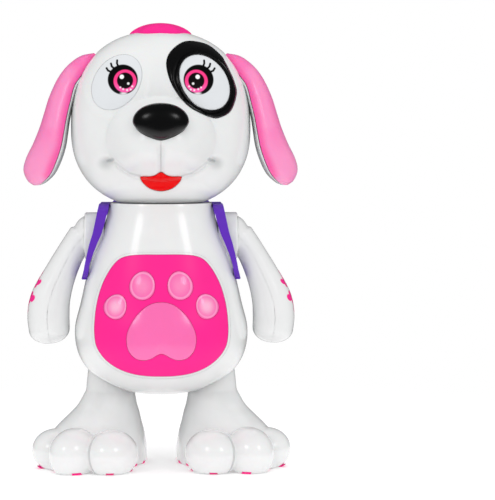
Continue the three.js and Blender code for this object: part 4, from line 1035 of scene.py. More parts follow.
@dataclass(frozen=True)
class EarFinish(Finish):
    """Translucent pink, deeper at the root and paler toward the tip, with painted shade along the seam and a
    painted highlight down the upper half.
    """

    deep: Colour = linear(255, 52, 156)
    pale: Colour = linear(255, 160, 207)
    seam: tuple = ((42.5, 262.0), (55.0, 244.5), (60.2, 224.0), (63.6, 205.6), (72.0, 187.0))
    highlight_streak: tuple = ((59.0, 253.0), (66.0, 238.0), (69.5, 220.0))

    def paint(self, graph: Graph) -> bpy.types.NodeSocket:
        """The pink from root to tip, with painted shade in deep pink along the seam and a painted highlight
        in pale pink down the upper half.

        Args:
            graph: the material's graph.

        Returns:
            The colour's socket.
        """
        tone = graph.mix(self.pale, self.colour, graph.z.rise(190.0, 232.0))
        # Painted shade: deep pink along the seam.
        tone = graph.mix(tone, self.deep, self._along(graph, self.seam, 5.5) * 0.8)
        # Painted highlight: a pale streak down the ear's upper half.
        tone = graph.mix(tone, self.pale, self._along(graph, self.highlight_streak, 7.5) * 0.75)
        return graph.mix(tone, super().paint(graph), 0.2)

    def _along(self, graph: Graph, line: tuple, reach: float) -> Signal:
        """How near a point is to a line that both ears have.

        Args:
            graph: the material's graph.
            line: the places of the line in X and Z on the left.
            reach: where it ends to count.

        Returns:
            1 on the line and 0 beyond its reach.
        """
        return strongest(
            graph.segment(start, end, sign).fall(0.0, reach)
            for start, end in zip(line, line[1:])
            for sign in (-1, 1)
        )


@dataclass(frozen=True)
class ArmFinish(Finish):
    """White plastic with two small pink bones on the outer forearm."""

    side: Side = Side.LEFT
    bones: tuple = ((-3.5, 119.5, 44.0, 1.1), (-4.0, 104.5, -34.0, 1.4))
    finger_y: float = 4.6

    def _bone(self, graph: Graph, y: float, z: float, tilt: float, size: float) -> Signal:
        """One small bone: a bar with two knobs at each end.

        Args:
            graph: the material's graph.
            y: its middle's Y.
            z: its middle's height.
            tilt: its turn in degrees from upright.
            size: its size against the smallest bone.

        Returns:
            Its share of the surface's colour.
        """
        turn = math.radians(tilt)
        up, back = (graph.z - z) / size, (graph.y - y) / size
        along = up * math.cos(turn) + back * math.sin(turn)
        across = back * math.cos(turn) - up * math.sin(turn)
        bar = abs(across).fall(1.0, 1.5) * abs(along).fall(3.0, 3.5)
        knob_along, knob_across = abs(along) - 3.5, abs(across) - 1.4
        knobs = graph.math("SQRT", knob_along * knob_along + knob_across * knob_across).fall(1.4, 1.9)
        return bar.most(knobs)

    def paint(self, graph: Graph) -> bpy.types.NodeSocket:
        """White, with the bones on the outer side and shade between the fingers.

        Args:
            graph: the material's graph.

        Returns:
            The colour's socket.
        """
        bones = strongest(self._bone(graph, *bone) for bone in self.bones)
        outer = (graph.x * self.side.value).rise(72.0, 74.0)
        # Painted shade in the creases between the fingers.
        colour = graph.mix(super().paint(graph), CREASE_SHADE_GREY, self._fingers(graph) * 0.5)
        return graph.mix(colour, HOT_PINK, bones * outer)

    def _fingers(self, graph: Graph) -> Signal:
        """Where the creases between the fingers run."""
        lines = strongest(graph.y.near(sign * self.finger_y, 1.2) for sign in (-1, 1))
        return lines * graph.z.fall(84.0, 93.0)

    def height(self, graph: Graph) -> Signal:
        """The fine relief with the creases of the fingers."""
        return super().height(graph) - self._fingers(graph) * 0.9


@dataclass(frozen=True)
class FootFinish(Finish):
    """White plastic with a fine crease between each two toes."""

    creases: tuple = ((-19.4, 40.0), (8.0, 40.0))

    def _lines(self, graph: Graph) -> Signal:
        """Where the creases run.

        Args:
            graph: the material's graph.

        Returns:
            1 in a crease and 0 beside it.
        """
        turn = math.radians(FOOT_TURN)
        out = abs(graph.x) - HIP_X
        ahead = out * math.sin(turn) - graph.y * math.cos(turn)
        across = out * math.cos(turn) + graph.y * math.sin(turn)
        lines = strongest(
            (across - place - (graph.z - 8.0) * 0.08).near(0.0, 1.6) * ahead.rise(start, start + 6.0)
            for place, start in self.creases
        )
        return lines * graph.z.fall(20.0, 26.0)

    def paint(self, graph: Graph) -> bpy.types.NodeSocket:
        """White, with a little shade in the creases."""
        # Painted shade in the creases between the toes.
        return graph.mix(super().paint(graph), CREASE_SHADE_GREY, self._lines(graph) * 0.4)

    def height(self, graph: Graph) -> Signal:
        """The fine relief with the creases in it."""
        return super().height(graph) - self._lines(graph) * 0.3


@dataclass(frozen=True)
class LensFinish(Finish):
    """Clear pink, paler in the middle of each toe, with a painted highlight round each toe's rim."""

    toes: tuple = ((*INNER_TOE, 0.25), (*OUTER_TOE, 0.75))

    def paint(self, graph: Graph) -> bpy.types.NodeSocket:
        """The pink with its pale middles and the painted highlights on their rims.

        Args:
            graph: the material's graph.

        Returns:
            The colour's socket.
        """
        colour = super().paint(graph)
        for (x, z), halves, tilt, pale in self.toes:
            for sign in (-1, 1):
                share = graph.oval_share((sign * x, z), halves, sign * tilt)
                colour = graph.mix(colour, linear(255, 200, 226), share.fall(0.1, 0.95) * pale)
                # Painted highlight: a pale line round the toe's rim.
                colour = graph.mix(colour, linear(255, 190, 222), share.near(0.86, 0.12) * 0.45)
        return colour


class Finishes:
    """The finishes that several pieces share."""

    white = Finish("white_plastic_look", "white_plastic", WHITE, roughness=0.2, coat=0.35, scatter=0.04)
    head = HeadFinish("head_white_look", "white_plastic", WHITE, roughness=0.25, coat=0.15, scatter=0.04)
    foot = FootFinish("foot_white_look", "white_plastic", WHITE, roughness=0.2, coat=0.35, scatter=0.04)
    black = Finish("black_plastic_look", "black_plastic", BLACK, roughness=0.24, specular=0.45)
    red = Finish("red_plastic_look", "red_plastic", linear(241, 0, 0), roughness=0.14, specular=0.14)
    pink = Finish("pink_plastic_look", "pink_plastic", HOT_PINK, roughness=0.34, specular=0.22)
    tail_pink = Finish("tail_pink_look", "pink_plastic", linear(255, 100, 176), roughness=0.22, coat=0.2)
    ear = EarFinish("ear_pink_look", "pink_plastic", linear(255, 122, 188), 0.3, coat=0.2, scatter=0.25)
    lens = LensFinish("lens_pink_look", "light_pink_lens", LENS_PINK, roughness=0.2, coat=0.3, scatter=0.1)
    purple = Finish("purple_plastic_look", "purple_plastic", PURPLE, roughness=0.42, unevenness=0.03)
    eyes = {
        side: EyePrint("eye_print_" + side.word, "eye_white", EYE_WHITE, 0.42, specular=0.1, side=side)
        for side in Side
    }
    arms = {
        side: ArmFinish("arm_look_" + side.word, "white_plastic", WHITE, 0.2, coat=0.35, side=side)
        for side in Side
    }
    inside = {
        "white_plastic": white,
        "pink_plastic": pink,
        "steel": Finish("steel_look", "steel", (0.6, 0.61, 0.63), roughness=0.32, metallic=1.0),
        "grey_plastic": Finish("grey_plastic_look", "grey_plastic", (0.43, 0.44, 0.46), roughness=0.5),
        "dark_plastic": Finish("dark_plastic_look", "dark_plastic", (0.16, 0.165, 0.18), roughness=0.5),
        "green_board": Finish("green_board_look", "green_board", (0.12, 0.42, 0.23), 0.4, patch=3.0),
        "brass": Finish("brass_look", "brass", (0.78, 0.64, 0.29), roughness=0.3, metallic=1.0),
    }


# Forms


@dataclass(frozen=True)
class HeadForm:
    """The head's rounded form with its muzzle."""

    centre_z: float = 217.3
    half_width: float = 58.0
    front_depth: float = 46.0
    rear_depth: float = 52.0
    drop: float = 52.0
    rise: float = 62.5
    squareness: float = 2.34
    base_z: float = 169.4
    wall: float = 2.4
    muzzle_lift: float = 17.0
    muzzle_drop: float = 7.0
    muzzle_halves: tuple = (35.0, 27.0)
    cheek_lift: float = 4.0
    cheek: tuple = (14.0, -17.0, 17.0)
    groove_half: float = 1.9
    groove_depth: float = 2.6
    chin_lift: float = 3.0
    dimple_depth: float = 2.2
    corner_depth: float = 1.8
    socket_lift: float = 0.35
    fold_half: float = 1.5
    chin: tuple = (-50.0, 37.0, 21.0)
    dimple: tuple = ((32.5, 3.6), (-20.3, 1.7))
    mouth_corner: tuple = ((35.5, 5.0), (-22.0, 5.0))
    socket: tuple = ((28.0, 21.5), (28.4, 23.0))
    smile: tuple = (
        (32.5, -20.3, 1.2),
        (28.5, -22.6, 1.6),
        (24.5, -25.6, 1.5),
        (19.6, -28.7, 1.4),
        (13.5, -30.2, 1.2),
    )

    def lift(self, x: Array, up: Array) -> Array:
        """How far the face stands out over the plain form.

        Args:
            x: places across.
            up: heights over the head's middle.

        Returns:
            The lift in millimetres.
        """
        side = np.abs(x)
        wide, high = self.muzzle_halves
        dome = np.maximum(0.0, 1.0 - (x / wide) ** 2 - ((up + self.muzzle_drop) / high) ** 2)
        across, above, spread = self.cheek
        cheek = np.exp(-2.0 * (((side - across) / spread) ** 2 + ((up - above) / spread) ** 2))
        lower = smooth_step(-up, 0.0, self.muzzle_drop) * np.minimum(1.0, 2.0 * dome)
        groove = bell(x, 0.0, self.groove_half) * lower * smooth_step(-up, 8.0, 14.0)
        middle, wide, high = self.chin
        chin = np.maximum(0.0, 1.0 - (x / wide) ** 2 - ((up - middle) / high) ** 2)
        dimple = bell(side, *self.dimple[0]) * bell(up, *self.dimple[1])
        corner = bell(side, *self.mouth_corner[0]) * bell(up, *self.mouth_corner[1])
        fold = np.zeros_like(x)
        for (x0, up0, deep0), (x1, up1, deep1) in zip(self.smile, self.smile[1:]):
            run, climb = x1 - x0, up1 - up0
            share = np.clip(((side - x0) * run + (up - up0) * climb) / (run**2 + climb**2), 0.0, 1.0)
            away = np.hypot(side - x0 - share * run, up - up0 - share * climb)
            fold = np.maximum(fold, (deep0 + (deep1 - deep0) * share) * bell(away, 0.0, self.fold_half))
        (across, wide), (above, high) = self.socket
        sockets = bell(np.hypot((side - across) / wide, (up - above) / high), 1.0, 0.1)
        lift = self.muzzle_lift * dome**0.9 + self.cheek_lift * cheek - self.groove_depth * groove
        lift = lift + self.chin_lift * chin**0.8 - self.dimple_depth * dimple
        return lift - self.corner_depth * corner + self.socket_lift * sockets - fold

    def points(self, directions: Array, grow: float) -> Array:
        """Puts directions from the head's middle on its surface.

        Args:
            directions: unit directions.
            grow: how much larger the form is made.

        Returns:
            The points.
        """
        dx, dy, dz = directions.T
        depth = np.where(dy < 0, self.front_depth, self.rear_depth) + grow
        height = np.where(dz < 0, self.drop, self.rise) + grow
        n = self.squareness
        total = np.abs(dx / (self.half_width + grow)) ** n + np.abs(dy / depth) ** n
        total = total + np.abs(dz / height) ** n
        x, y, z = (directions * (total ** (-1 / n))[:, None]).T
        y = y - smooth_step(-dy, 0.1, 0.5) * self.lift(x, z)
        return np.stack([x, y, z + self.centre_z], axis=1)

    def solid(self, cuts: int, grow: float, base: float) -> Solid:
        """The whole head as one solid.

        Args:
            cuts: cuts along each edge of the cube it starts from.
            grow: how much larger it is made.
            base: the height of its flat bottom.

        Returns:
            The solid.
        """
        bm = bmesh.new()
        bmesh.ops.create_cube(bm, size=2.0)
        bmesh.ops.subdivide_edges(bm, edges=bm.edges[:], cuts=cuts, use_grid_fill=True)
        cube = np.tan(np.array([vert.co for vert in bm.verts]) * (math.pi / 4))
        directions = cube / np.linalg.norm(cube, axis=1, keepdims=True)
        for vert, point in zip(bm.verts, self.points(directions, grow)):
            vert.co = point
        return Solid(bm).cut(Solid.slab(Axis.Z, 0.0, base))

    def front(self, x: Array, z: Array) -> Array:
        """The Y of the face at an X and a Z.

        Args:
            x: places across.
            z: heights.

        Returns:
            The Y of each place.
        """
        up = z - self.centre_z
        height = np.where(up < 0, self.drop, self.rise)
        n = self.squareness
        rest = 1.0 - np.abs(x / self.half_width) ** n - np.abs(up / height) ** n
        y = -self.front_depth * np.maximum(rest, 0.0) ** (1 / n)
        facing = -y / np.sqrt(x**2 + y**2 + up**2)
        return y - smooth_step(facing, 0.1, 0.5) * self.lift(x, up)


@dataclass(frozen=True)
class BodyForm:
    """The pear-shaped body."""

    half_width: float = 56.1
    widest_z: float = 85.7
    depth: float = 41.1
    top_z: float = 169.0
    wall: float = 2.6
    roundness: float = 2.28
    squareness: float = 2.3
    waist: tuple = (52.0, 66.0)
    flatness: float = 0.91
    shoulders: tuple = ((56.1, 85.7), (52.0, 105.4), (45.6, 131.5), (35.6, 158.5), (32.8, 169.0))

    def profile(self) -> Array:
        """Half widths and heights from the bottom to the neck.

        Returns:
            A row for each height, with the half width first.
        """
        angle = np.linspace(0, math.pi / 2, 60)
        power = 2 / self.roundness
        half = self.half_width * np.sin(angle) ** power
        low = np.stack([half, self.widest_z - self.depth * np.cos(angle) ** power], axis=1)
        high = curve_through((self.waist, *self.shoulders), 86)
        high = high[high[:, 1] > self.widest_z + 0.5]
        return np.concatenate([low, high])

    def depth_share(self, z: Array) -> Array:
        """The body's depth over its width at a height."""
        return self.flatness + (1 - self.flatness) * smooth_step(z, 131.5, self.top_z)

    def solid(self, grow: float, top: float, steps: int = 220) -> Solid:
        """The body as one solid.

        Args:
            grow: how much larger it is made.
            top: the height of its flat top.
            steps: points round it.

        Returns:
            The solid.
        """
        across, back = squared_circle(self.squareness, steps)
        rings = []
        for half, z in self.profile():
            size = max(half + grow, 0.0)
            lower = min(1.0, (self.widest_z - z) / self.depth) if z < self.widest_z else 0.0
            rings.append(ring_at(size * across, size * self.depth_share(z) * back, z - grow * lower))
        return Solid.rings(rings).cut(Solid.slab(Axis.Z, top, 2 * FAR))

    def surface(self, facing: float) -> Surface:
        """The Y of the body's front or rear at an X and a Z.

        Args:
            facing: -1 for the front, 1 for the rear.

        Returns:
            A function of X and Z.
        """
        table = self.profile()

        def at(x: Array, z: Array) -> Array:
            """The Y at a place.

            Args:
                x: places across.
                z: heights.

            Returns:
                The Y of each place.
            """
            half = np.interp(z, table[:, 1], table[:, 0])
            rest = np.maximum(0.0, 1.0 - np.abs(x / half) ** self.squareness)
            return facing * half * self.depth_share(z) * rest ** (1 / self.squareness)

        return at


HEAD = HeadForm()
BODY = BodyForm()


def front_half() -> Solid:
    """A block that takes away all behind the front shells."""
    return Solid.slab(Axis.Y, -GAP / 2, FAR)


def rear_half() -> Solid:
    """A block that takes away all before the rear shells."""
    return Solid.slab(Axis.Y, -FAR, GAP / 2)


def on_both(parts: Iterable[Solid]) -> list[Solid]:
    """Solids made for the left, each followed by its mirror image."""
    return [part for left in parts for part in (left, left.mirrored())]


def screw_wells(places: Sequence[Sequence[float]], form: Solid) -> tuple[list[Solid], list[Solid]]:
    """The round posts of a rear shell's screws and the wells in them.

    Args:
        places: the screws' X and Z on the left.
        form: the shell's outer form, which the posts stay inside.

    Returns:
        The posts and the wells.
    """
    both = [(sign * x, z) for x, z in places for sign in (-1, 1)]
    posts = [Solid.rod(Axis.Y, POST_RADIUS, WELL_FLOOR - 2.0, FAR, place) for place in both]
    wells = [Solid.rod(Axis.Y, WELL_RADIUS, WELL_FLOOR, FAR, place) for place in both]
    return [post.meet(form.copy()) for post in posts], wells


@dataclass(frozen=True)
class Ear:
    """A hanging ear: a pink outer half and a white inner half on a round root."""

    seam_x: tuple = (41.0, 44.8, 49.6, 55, 58, 60.2, 61.8, 63.6, 66.6, 70.6, 75.6, 79)
    seam_z: tuple = (264, 258.8, 252.2, 244.5, 233.5, 224, 215, 205.6, 196.5, 188, 182.6, 180.4)
    crest_x: tuple = (43.0, 51.5, 60, 66.4, 71.8, 75, 78.2, 82.3, 87.0, 88.7, 86.2, 82.3)
    crest_z: tuple = (265.5, 263.6, 257.4, 249, 237.5, 227.5, 217.5, 207.5, 197.8, 190, 183.4, 180.3)
    breadth: tuple = (7.8, 10.2, 11.6, 13.4, 15.4, 17, 18.2, 19, 18.4, 15.6, 10.5, 5)
    depth: tuple = (4.0, 4.0, 3.6, 2.4, 1.6, 1.5, 1.7, 2.0, 2.2, 2.0, 1.6, 1)
    pivot: tuple = (43.0, 257.5)
    root_radius: float = 6.8
    root_half: float = 9.5
    pin_radius: float = 2.0
    pin_half: float = 12.5
    seam_slope: float = 35.9
    room: float = 0.5
    stops: tuple = (15, 30, 45, 60)

    def half(self, outward: int, grow: float = 0.0, last: int = 12, rows: int = 90) -> Solid:
        """One half of the ear, on one side of its seam.

        Args:
            outward: 1 for the outer half, -1 for the inner one.
            grow: how much larger it is made.
            last: how many of the ear's sections are used.
            rows: rings along it.

        Returns:
            The half as a closed solid.
        """
        columns = (self.seam_x, self.seam_z, self.crest_x, self.crest_z, self.breadth, self.depth)
        table = curve_through(np.array(columns).T[:last], rows)
        bow = np.linspace(0, math.pi, 44)
        rings = []
        for sx, sz, cx, cz, breadth, inner in table:
            reach = math.hypot(cx - sx, cz - sz)
            out = np.array([(cx - sx) / reach, (cz - sz) / reach])
            depth = reach if outward > 0 else inner
            lift = outward * ((depth + grow) * np.sin(bow) ** 0.8 + (GAP / 2 if grow == 0 else -GAP))
            y = (breadth + grow) * np.cos(bow)
            flat = (np.array([[sx, sz]]) + lift[:, None] * out[None, :]).T
            rings.append(ring_at(flat[0], y, flat[1]))
        return Solid.rings(rings)

    def root(self, grow: float = 0.0) -> Solid:
        """The round root that turns in the head."""
        half = self.root_half + grow
        return Solid.rod(Axis.Y, self.root_radius + grow, -half, half, self.pivot)

    def pocket(self) -> list[Solid]:
        """The room in the head for the ear at rest and as it swings.

        Returns:
            The solids that the head's shells are cut by.
        """
        made = [self.half(-1, self.room, rows=30), self.half(1, self.room, rows=30), self.root(GAP)]
        for degrees in self.stops:
            for outward in (-1, 1):
                part = self.half(outward, self.room, last=5, rows=28)
                made.append(part.turned(-degrees, Axis.Y, (self.pivot[0], 0.0, self.pivot[1])))
        return made

    def build(self, side: Side) -> None:
        """Makes the two halves of one ear.

        Args:
            side: the side it is made for.
        """
        word = side.word
        pin = Solid.rod(Axis.Y, self.pin_radius, -self.pin_half, self.pin_half, self.pivot)
        outward = Solid.block((0.0, -FAR, -FAR), (FAR, FAR, FAR))
        outward.turned(-self.seam_slope, Axis.Y, (0.0, 0.0, 0.0))
        outward.moved(Matrix.Translation((self.seam_x[2], 0.0, self.seam_z[2])))
        inner = self.half(-1).join(self.root().cut(outward), pin).cut(self.half(1, 0.25))
        inner.on(side).finish("ear_back_" + word, Finishes.white, "ear_" + word, [f"ear_{word}_back"])
        outer = self.half(1).join(self.root(0.02).meet(outward))
        outer.on(side).finish("ear_front_" + word, Finishes.ear, "ear_" + word, [f"ear_{word}_front"])


@dataclass(frozen=True)
class Head:
    """The head with its face, button, switch and grille."""

    eye: tuple = (27.7, 246.0)
    eye_halves: tuple = (14.1, 19.0)
    eye_tilt: float = 36.0
    ring_middle: tuple = (28.0, 245.7)
    ring_turn: tuple = (-70, -48, -19, 3, 25.5, 45, 60, 86.4, 113.5, 135, 152.7, 175, 201.8, 232.7, 259, 276)
    ring_reach: tuple = (
        *(23.5, 23.9, 21.2, 18.7, 17.6, 18.6, 20.6, 24.8),
        *(28.9, 29.3, 27.4, 22.4, 18.9, 18.2, 19.2, 21.4),
    )
    ring_rim: tuple = (
        *((0.0, -0.9), (0.0, 0.5), (0.15, 0.95), (0.5, 1.2), (0.9, 1.2)),
        *((1.3, 0.95), (1.5, 0.45), (1.75, 0.35), (2.0, 0.5), (2.3, 0.9)),
    )
    ring_foot: float = -0.9
    nose: tuple = (0.0, -60.5, 221.0)
    nose_halves: tuple = (17.5, 9.5, 11.7)
    nose_powers: tuple = (1.55, 2.05)
    tongue_top: float = 189.5
    tongue_half: float = 13.0
    tongue_height: float = 12.0
    button_halves: tuple = (19.0, 16.0)
    button_floor: float = 277.2
    button_rise: float = 7.75
    button_edge: float = 0.8
    button_sink: float = 0.9
    button_travel: float = 1.5
    stem_radius: float = 4.0
    button_lobes: int = 6
    button_lobe: float = 0.05
    neck_radius: float = 17.0
    grille_z: float = 226.0
    grille_y: float = 30.0
    grille_radii: tuple = (5.6, 11.6)
    slot_half: float = 0.7
    slot_spread: float = 50.0
    switch: tuple = (0.0, 194.0)
    recess_halves: tuple = (12.5, 7.5)
    recess_y: float = 46.9
    slot_halves: tuple = (5.4, 1.6)
    slot_y: float = 40.0
    switch_bands: tuple = ((0.0, 47.3), (0.0, 50.6), (0.4, 51.3), (1.2, 51.6), (4.7, 51.7))
    screws: tuple = ((24.0, 266.0), (40.0, 203.0))

    def eye_outline(self, side: Side, margin: float = 0.0) -> Array:
        """The outline of an eye."""
        halves = (self.eye_halves[0] + margin, self.eye_halves[1] + margin)
        return oval((side.value * self.eye[0], self.eye[1]), halves, side.value * self.eye_tilt, steps=120)

    def tongue_outline(self) -> Array:
        """The outline of the tongue: a bow above, a deep curve below.

        Returns:
            The outline's points in X and Z.
        """
        top, w, h = self.tongue_top, self.tongue_half, self.tongue_height
        right = [
            (0.0, top),
            (w * 0.3, top - h * 0.17),
            (w * 0.62, top - h * 0.235),
            (w * 0.95, top - h * 0.23),
            (w * 0.985, top - h * 0.33),
            (w * 0.84, top - h * 0.6),
            (w * 0.5, top - h * 0.88),
            (0.0, top - h),
        ]
        left = [(-x, z) for x, z in reversed(right[1:-1])]
        return curve_through(right + left, 120, closed=True)

    def nose_solid(self, grow: float) -> Solid:
        """The nose: a round top and a pointed lower half.

        Args:
            grow: how much larger it is made.

        Returns:
            The nose.
        """
        around = round_steps(RING_STEPS)
        x_share, z_share = np.cos(around), np.sin(around)
        power = np.where(z_share < 0, *self.nose_powers)
        size = (np.abs(x_share) ** power + np.abs(z_share) ** power) ** (-1 / power)
        wide, deep, high = (half + grow for half in self.nose_halves)
        rings = []
        for angle in np.linspace(-math.pi / 2, math.pi / 2, 48):
            out = math.copysign(abs(math.sin(angle)) ** 0.9, math.sin(angle))
            share = math.cos(angle) ** 0.85
            x = self.nose[0] + wide * share * size * x_share
            z = self.nose[2] + high * share * size * z_share
            rings.append(ring_at(x, self.nose[1] - deep * out, z))
        return Solid.rings(rings)

    def patch_solid(self) -> Solid:
        """The dark ring round the left eye, with a rounded rim inside a groove.

        Returns:
            The ring.
        """
        angle = round_steps(200)
        turn = angle - math.radians(self.eye_tilt)
        wide, high = self.eye_halves
        inner = 1 / np.sqrt((np.cos(turn) / wide) ** 2 + (np.sin(turn) / high) ** 2) + GAP
        outline = self.patch_outline(0.0) - np.array([self.eye])
        found = np.unwrap(np.arctan2(outline[:, 1], outline[:, 0]))
        outer = np.interp(angle, found, np.hypot(outline[:, 0], outline[:, 1]), period=FULL_TURN)
        plan = [(inner + out, height) for out, height in self.ring_rim]
        start, start_height = inner + self.ring_rim[-1][0], self.ring_rim[-1][1]
        for share in np.linspace(0.12, 1, 14):
            height = start_height + 0.5 * math.sin(math.pi * share) - 0.75 * share**3
            plan.append((start + (outer - start) * share, height))
        plan += [(outer, self.ring_foot), (inner, self.ring_foot), plan[0]]
        rings = []
        for reach, height in plan:
            x, z = circle_at(self.eye, reach, angle).T
            rings.append(ring_at(x, HEAD.front(x, z) - height, z))
        return Solid.rings(rings)

    def patch_outline(self, margin: float) -> Array:
        """The outline of the dark ring."""
        places = circle_at(self.ring_middle, np.array(self.ring_reach), np.radians(self.ring_turn))
        return grown(curve_through(places, 200, closed=True), margin)

    def button_outline(self, margin: float) -> Array:
        """The crown button's lobed outline in X and Y.

        Args:
            margin: how much larger it is made.

        Returns:
            The outline's points.
        """
        angle = round_steps(180)
        lobe = 1 + self.button_lobe * np.cos(self.button_lobes * angle)
        wide, deep = (half + margin for half in self.button_halves)
        return np.stack([wide * lobe * np.cos(angle), deep * lobe * np.sin(angle)], axis=1)

    def build_button(self) -> None:
        """The crown button, a cushion with shallow valleys between its lobes."""
        outline = self.button_outline(0.0)
        valley = 0.5 - 0.5 * np.cos(self.button_lobes * round_steps(len(outline)))
        rings = []
        for share in np.linspace(0, 1, 26):
            bow = max(0.0, 1 - share**2.2) ** 0.8
            z = self.button_floor + self.button_edge + (self.button_rise - self.button_edge) * bow
            rings.append(ring_at(*(outline * share).T, z - 0.7 * valley**3 * (share**2) * bow))
        for share in (1.0, 0.0):
            rings.append(ring_at(*(outline * share).T, self.button_floor - self.button_sink))
        stem = Solid.rod(Axis.Z, self.stem_radius, self.button_floor - 6.0, self.button_floor, (0.0, 0.0))
        button = Solid.rings(rings).join(stem)
        button.finish("crown_button", Finishes.pink, "head_button", ["head_button"])

    def build_face(self) -> None:
        """The eyes, the dark ring, the nose and the tongue."""
        for side in Side:
            disc = Solid.laid(self.eye_outline(side), HEAD.front, -1, proud=0.3, sink=0.3, round_edge=0.3)
            disc.finish("eye_" + side.word, Finishes.eyes[side], "head", ["eye_disc_" + side.word])
        self.patch_solid().finish("eye_ring", Finishes.black, "head", ["eye_patch"])
        self.nose_solid(0.0).finish("nose_bead", Finishes.black, "head", ["nose"])
        size = {"proud": 1.3, "sink": 1.6, "round_edge": 0.9, "dome": 0.9}
        tongue = Solid.laid(self.tongue_outline(), HEAD.front, -1, **size)
        tongue.finish("tongue_tip", Finishes.red, "head", ["tongue"])

    def face_seats(self) -> list[Solid]:
        """What the face's pieces take out of the front shell.

        Returns:
            The solids that the front shell is cut by.
        """
        return [
            Solid.bed(self.eye_outline(Side.RIGHT, 0.2), HEAD.front, -1, 0.4, 4.0),
            Solid.bed(self.patch_outline(GAP), HEAD.front, -1, 1.5, 4.0),
            self.nose_solid(GAP),
            Solid.bed(grown(self.tongue_outline(), GAP), HEAD.front, -1, 1.9, 6.0),
        ]

    def openings(self) -> list[Solid]:
        """The room for the button, its stem and the neck.

        Returns:
            The solids that both shells are cut by.
        """
        floor = self.button_floor - self.button_travel - GAP - self.button_sink
        return [
            Solid.prism(self.button_outline(GAP), Axis.Z, floor, 2 * FAR),
            Solid.rod(Axis.Z, self.stem_radius + GAP, self.button_floor - 8.0, 2 * FAR, (0.0, 0.0)),
            Solid.rod(Axis.Z, self.neck_radius, 0.0, HEAD.base_z + 4.0, (0.0, 0.0)),
        ]

    def grille(self) -> list[Solid]:
        """The two rings of slots and the middle hole of the speaker's grille.

        Returns:
            The solids that the rear shell is cut by.
        """
        middle, spread = (0.0, self.grille_z), math.radians(self.slot_spread)
        holes = [Solid.rod(Axis.Y, 1.0, self.grille_y, FAR, middle)]
        for radius in self.grille_radii:
            for turn in (0, math.pi):
                angle = np.linspace(-spread, spread, 24) + turn
                inner = circle_at(middle, radius - self.slot_half, angle)
                outer = circle_at(middle, radius + self.slot_half, angle)
                holes.append(Solid.prism(np.concatenate([inner, outer[::-1]]), Axis.Y, self.grille_y, FAR))
        return holes

    def build_switch(self) -> None:
        """The slide switch's knob."""
        outline = oval(self.switch, (5.0, 4.8), egg=0.3)
        knob = Solid.banded(lambda inset: grown(outline, -inset), self.switch_bands)
        knob.finish("switch_button", Finishes.pink, "power_switch", ["switch_knob"])

    def build(self, ear: Ear) -> None:
        """Makes the head.

        Args:
            ear: the ear, whose pockets the shells take.
        """
        pockets = on_both(ear.pocket())
        cavity = HEAD.solid(40, -HEAD.wall, HEAD.base_z + HEAD.wall)
        front = HEAD.solid(130, 0.0, HEAD.base_z)
        front.cut(front_half(), cavity.copy(), *self.openings(), *self.face_seats(), *pockets)
        front.finish("head_front", Finishes.head, "head", ["head_front_shell"])
        rear = HEAD.solid(80, 0.0, HEAD.base_z)
        recess = Solid.prism(oval(self.switch, self.recess_halves), Axis.Y, self.recess_y, FAR)
        slot = Solid.prism(oval(self.switch, self.slot_halves), Axis.Y, self.slot_y, FAR)
        posts, wells = screw_wells(self.screws, HEAD.solid(60, -1.0, HEAD.base_z))
        rear.cut(rear_half(), cavity, *self.openings(), *pockets, *self.grille(), recess, slot)
        rear.join(*posts).cut(*wells)
        rear.finish("head_rear", Finishes.white, "head", ["head_rear_shell"])
        self.build_button()
        self.build_face()
        self.build_switch()


@dataclass(frozen=True)
class Belly:
    """The pink belly panel with its clear paw."""

    half: float = 42.4
    low: float = 60.6
    high: float = 137.4
    pad_gap: float = 0.12
    widths: tuple = (
        *(0, 0.25, 0.46, 0.6, 0.69, 0.77, 0.84, 0.895, 0.94, 0.975),
        *(0.995, 1, 0.978, 0.915, 0.83, 0.72, 0.58, 0.4, 0.2, 0),
    )
    heights: tuple = (
        *(1, 1, 0.992, 0.968, 0.927, 0.868, 0.8, 0.73, 0.65, 0.56),
        *(0.46, 0.36, 0.26, 0.19, 0.135, 0.088, 0.048, 0.018, 0.003, 0),
    )
    pad: tuple = (22.0, 71.4, 108.0)
    pad_widths: tuple = (0, 0.36, 0.7, 0.93, 1, 0.94, 0.76, 0.52, 0.3, 0.13, 0)
    pad_heights: tuple = (1, 0.95, 0.78, 0.55, 0.36, 0.17, 0.04, 0, 0.03, 0.09, 0.115)

    def outline(self) -> Array:
        """The panel's outline."""
        return mirrored_outline(self.widths, self.heights, self.half, self.low, self.high)

    def pads(self) -> list[Array]:
        """The outlines of the main pad and the four toes.

        Returns:
            The main pad's outline, then the toes' outlines.
        """
        made = [mirrored_outline(self.pad_widths, self.pad_heights, *self.pad, 140)]
        for sign in (-1, 1):
            for ((x, z), halves, tilt), egg in ((INNER_TOE, 0.1), (OUTER_TOE, 0.16)):
                made.append(oval((sign * x, z), halves, sign * tilt, egg))
        return made

    def build(self) -> None:
        """Makes the panel and the paw."""
        front = BODY.surface(-1)
        panel = Solid.laid(self.outline(), front, -1, proud=0.7, sink=2.4, round_edge=0.5, rows=40)
        panel.cut(*[Solid.bed(grown(pad, self.pad_gap), front, -1, 1.2, 5.0) for pad in self.pads()])
        panel.finish("belly_plate", Finishes.pink, "body", ["belly_panel"])
        size = {"proud": 1.0, "sink": 1.1, "round_edge": 0.8, "dome": 1.0}
        main, *toes = [Solid.laid(pad, front, -1, **size) for pad in self.pads()]
        main.beside(*toes).finish("paw_pads", Finishes.lens, "body", ["paw_lens"])


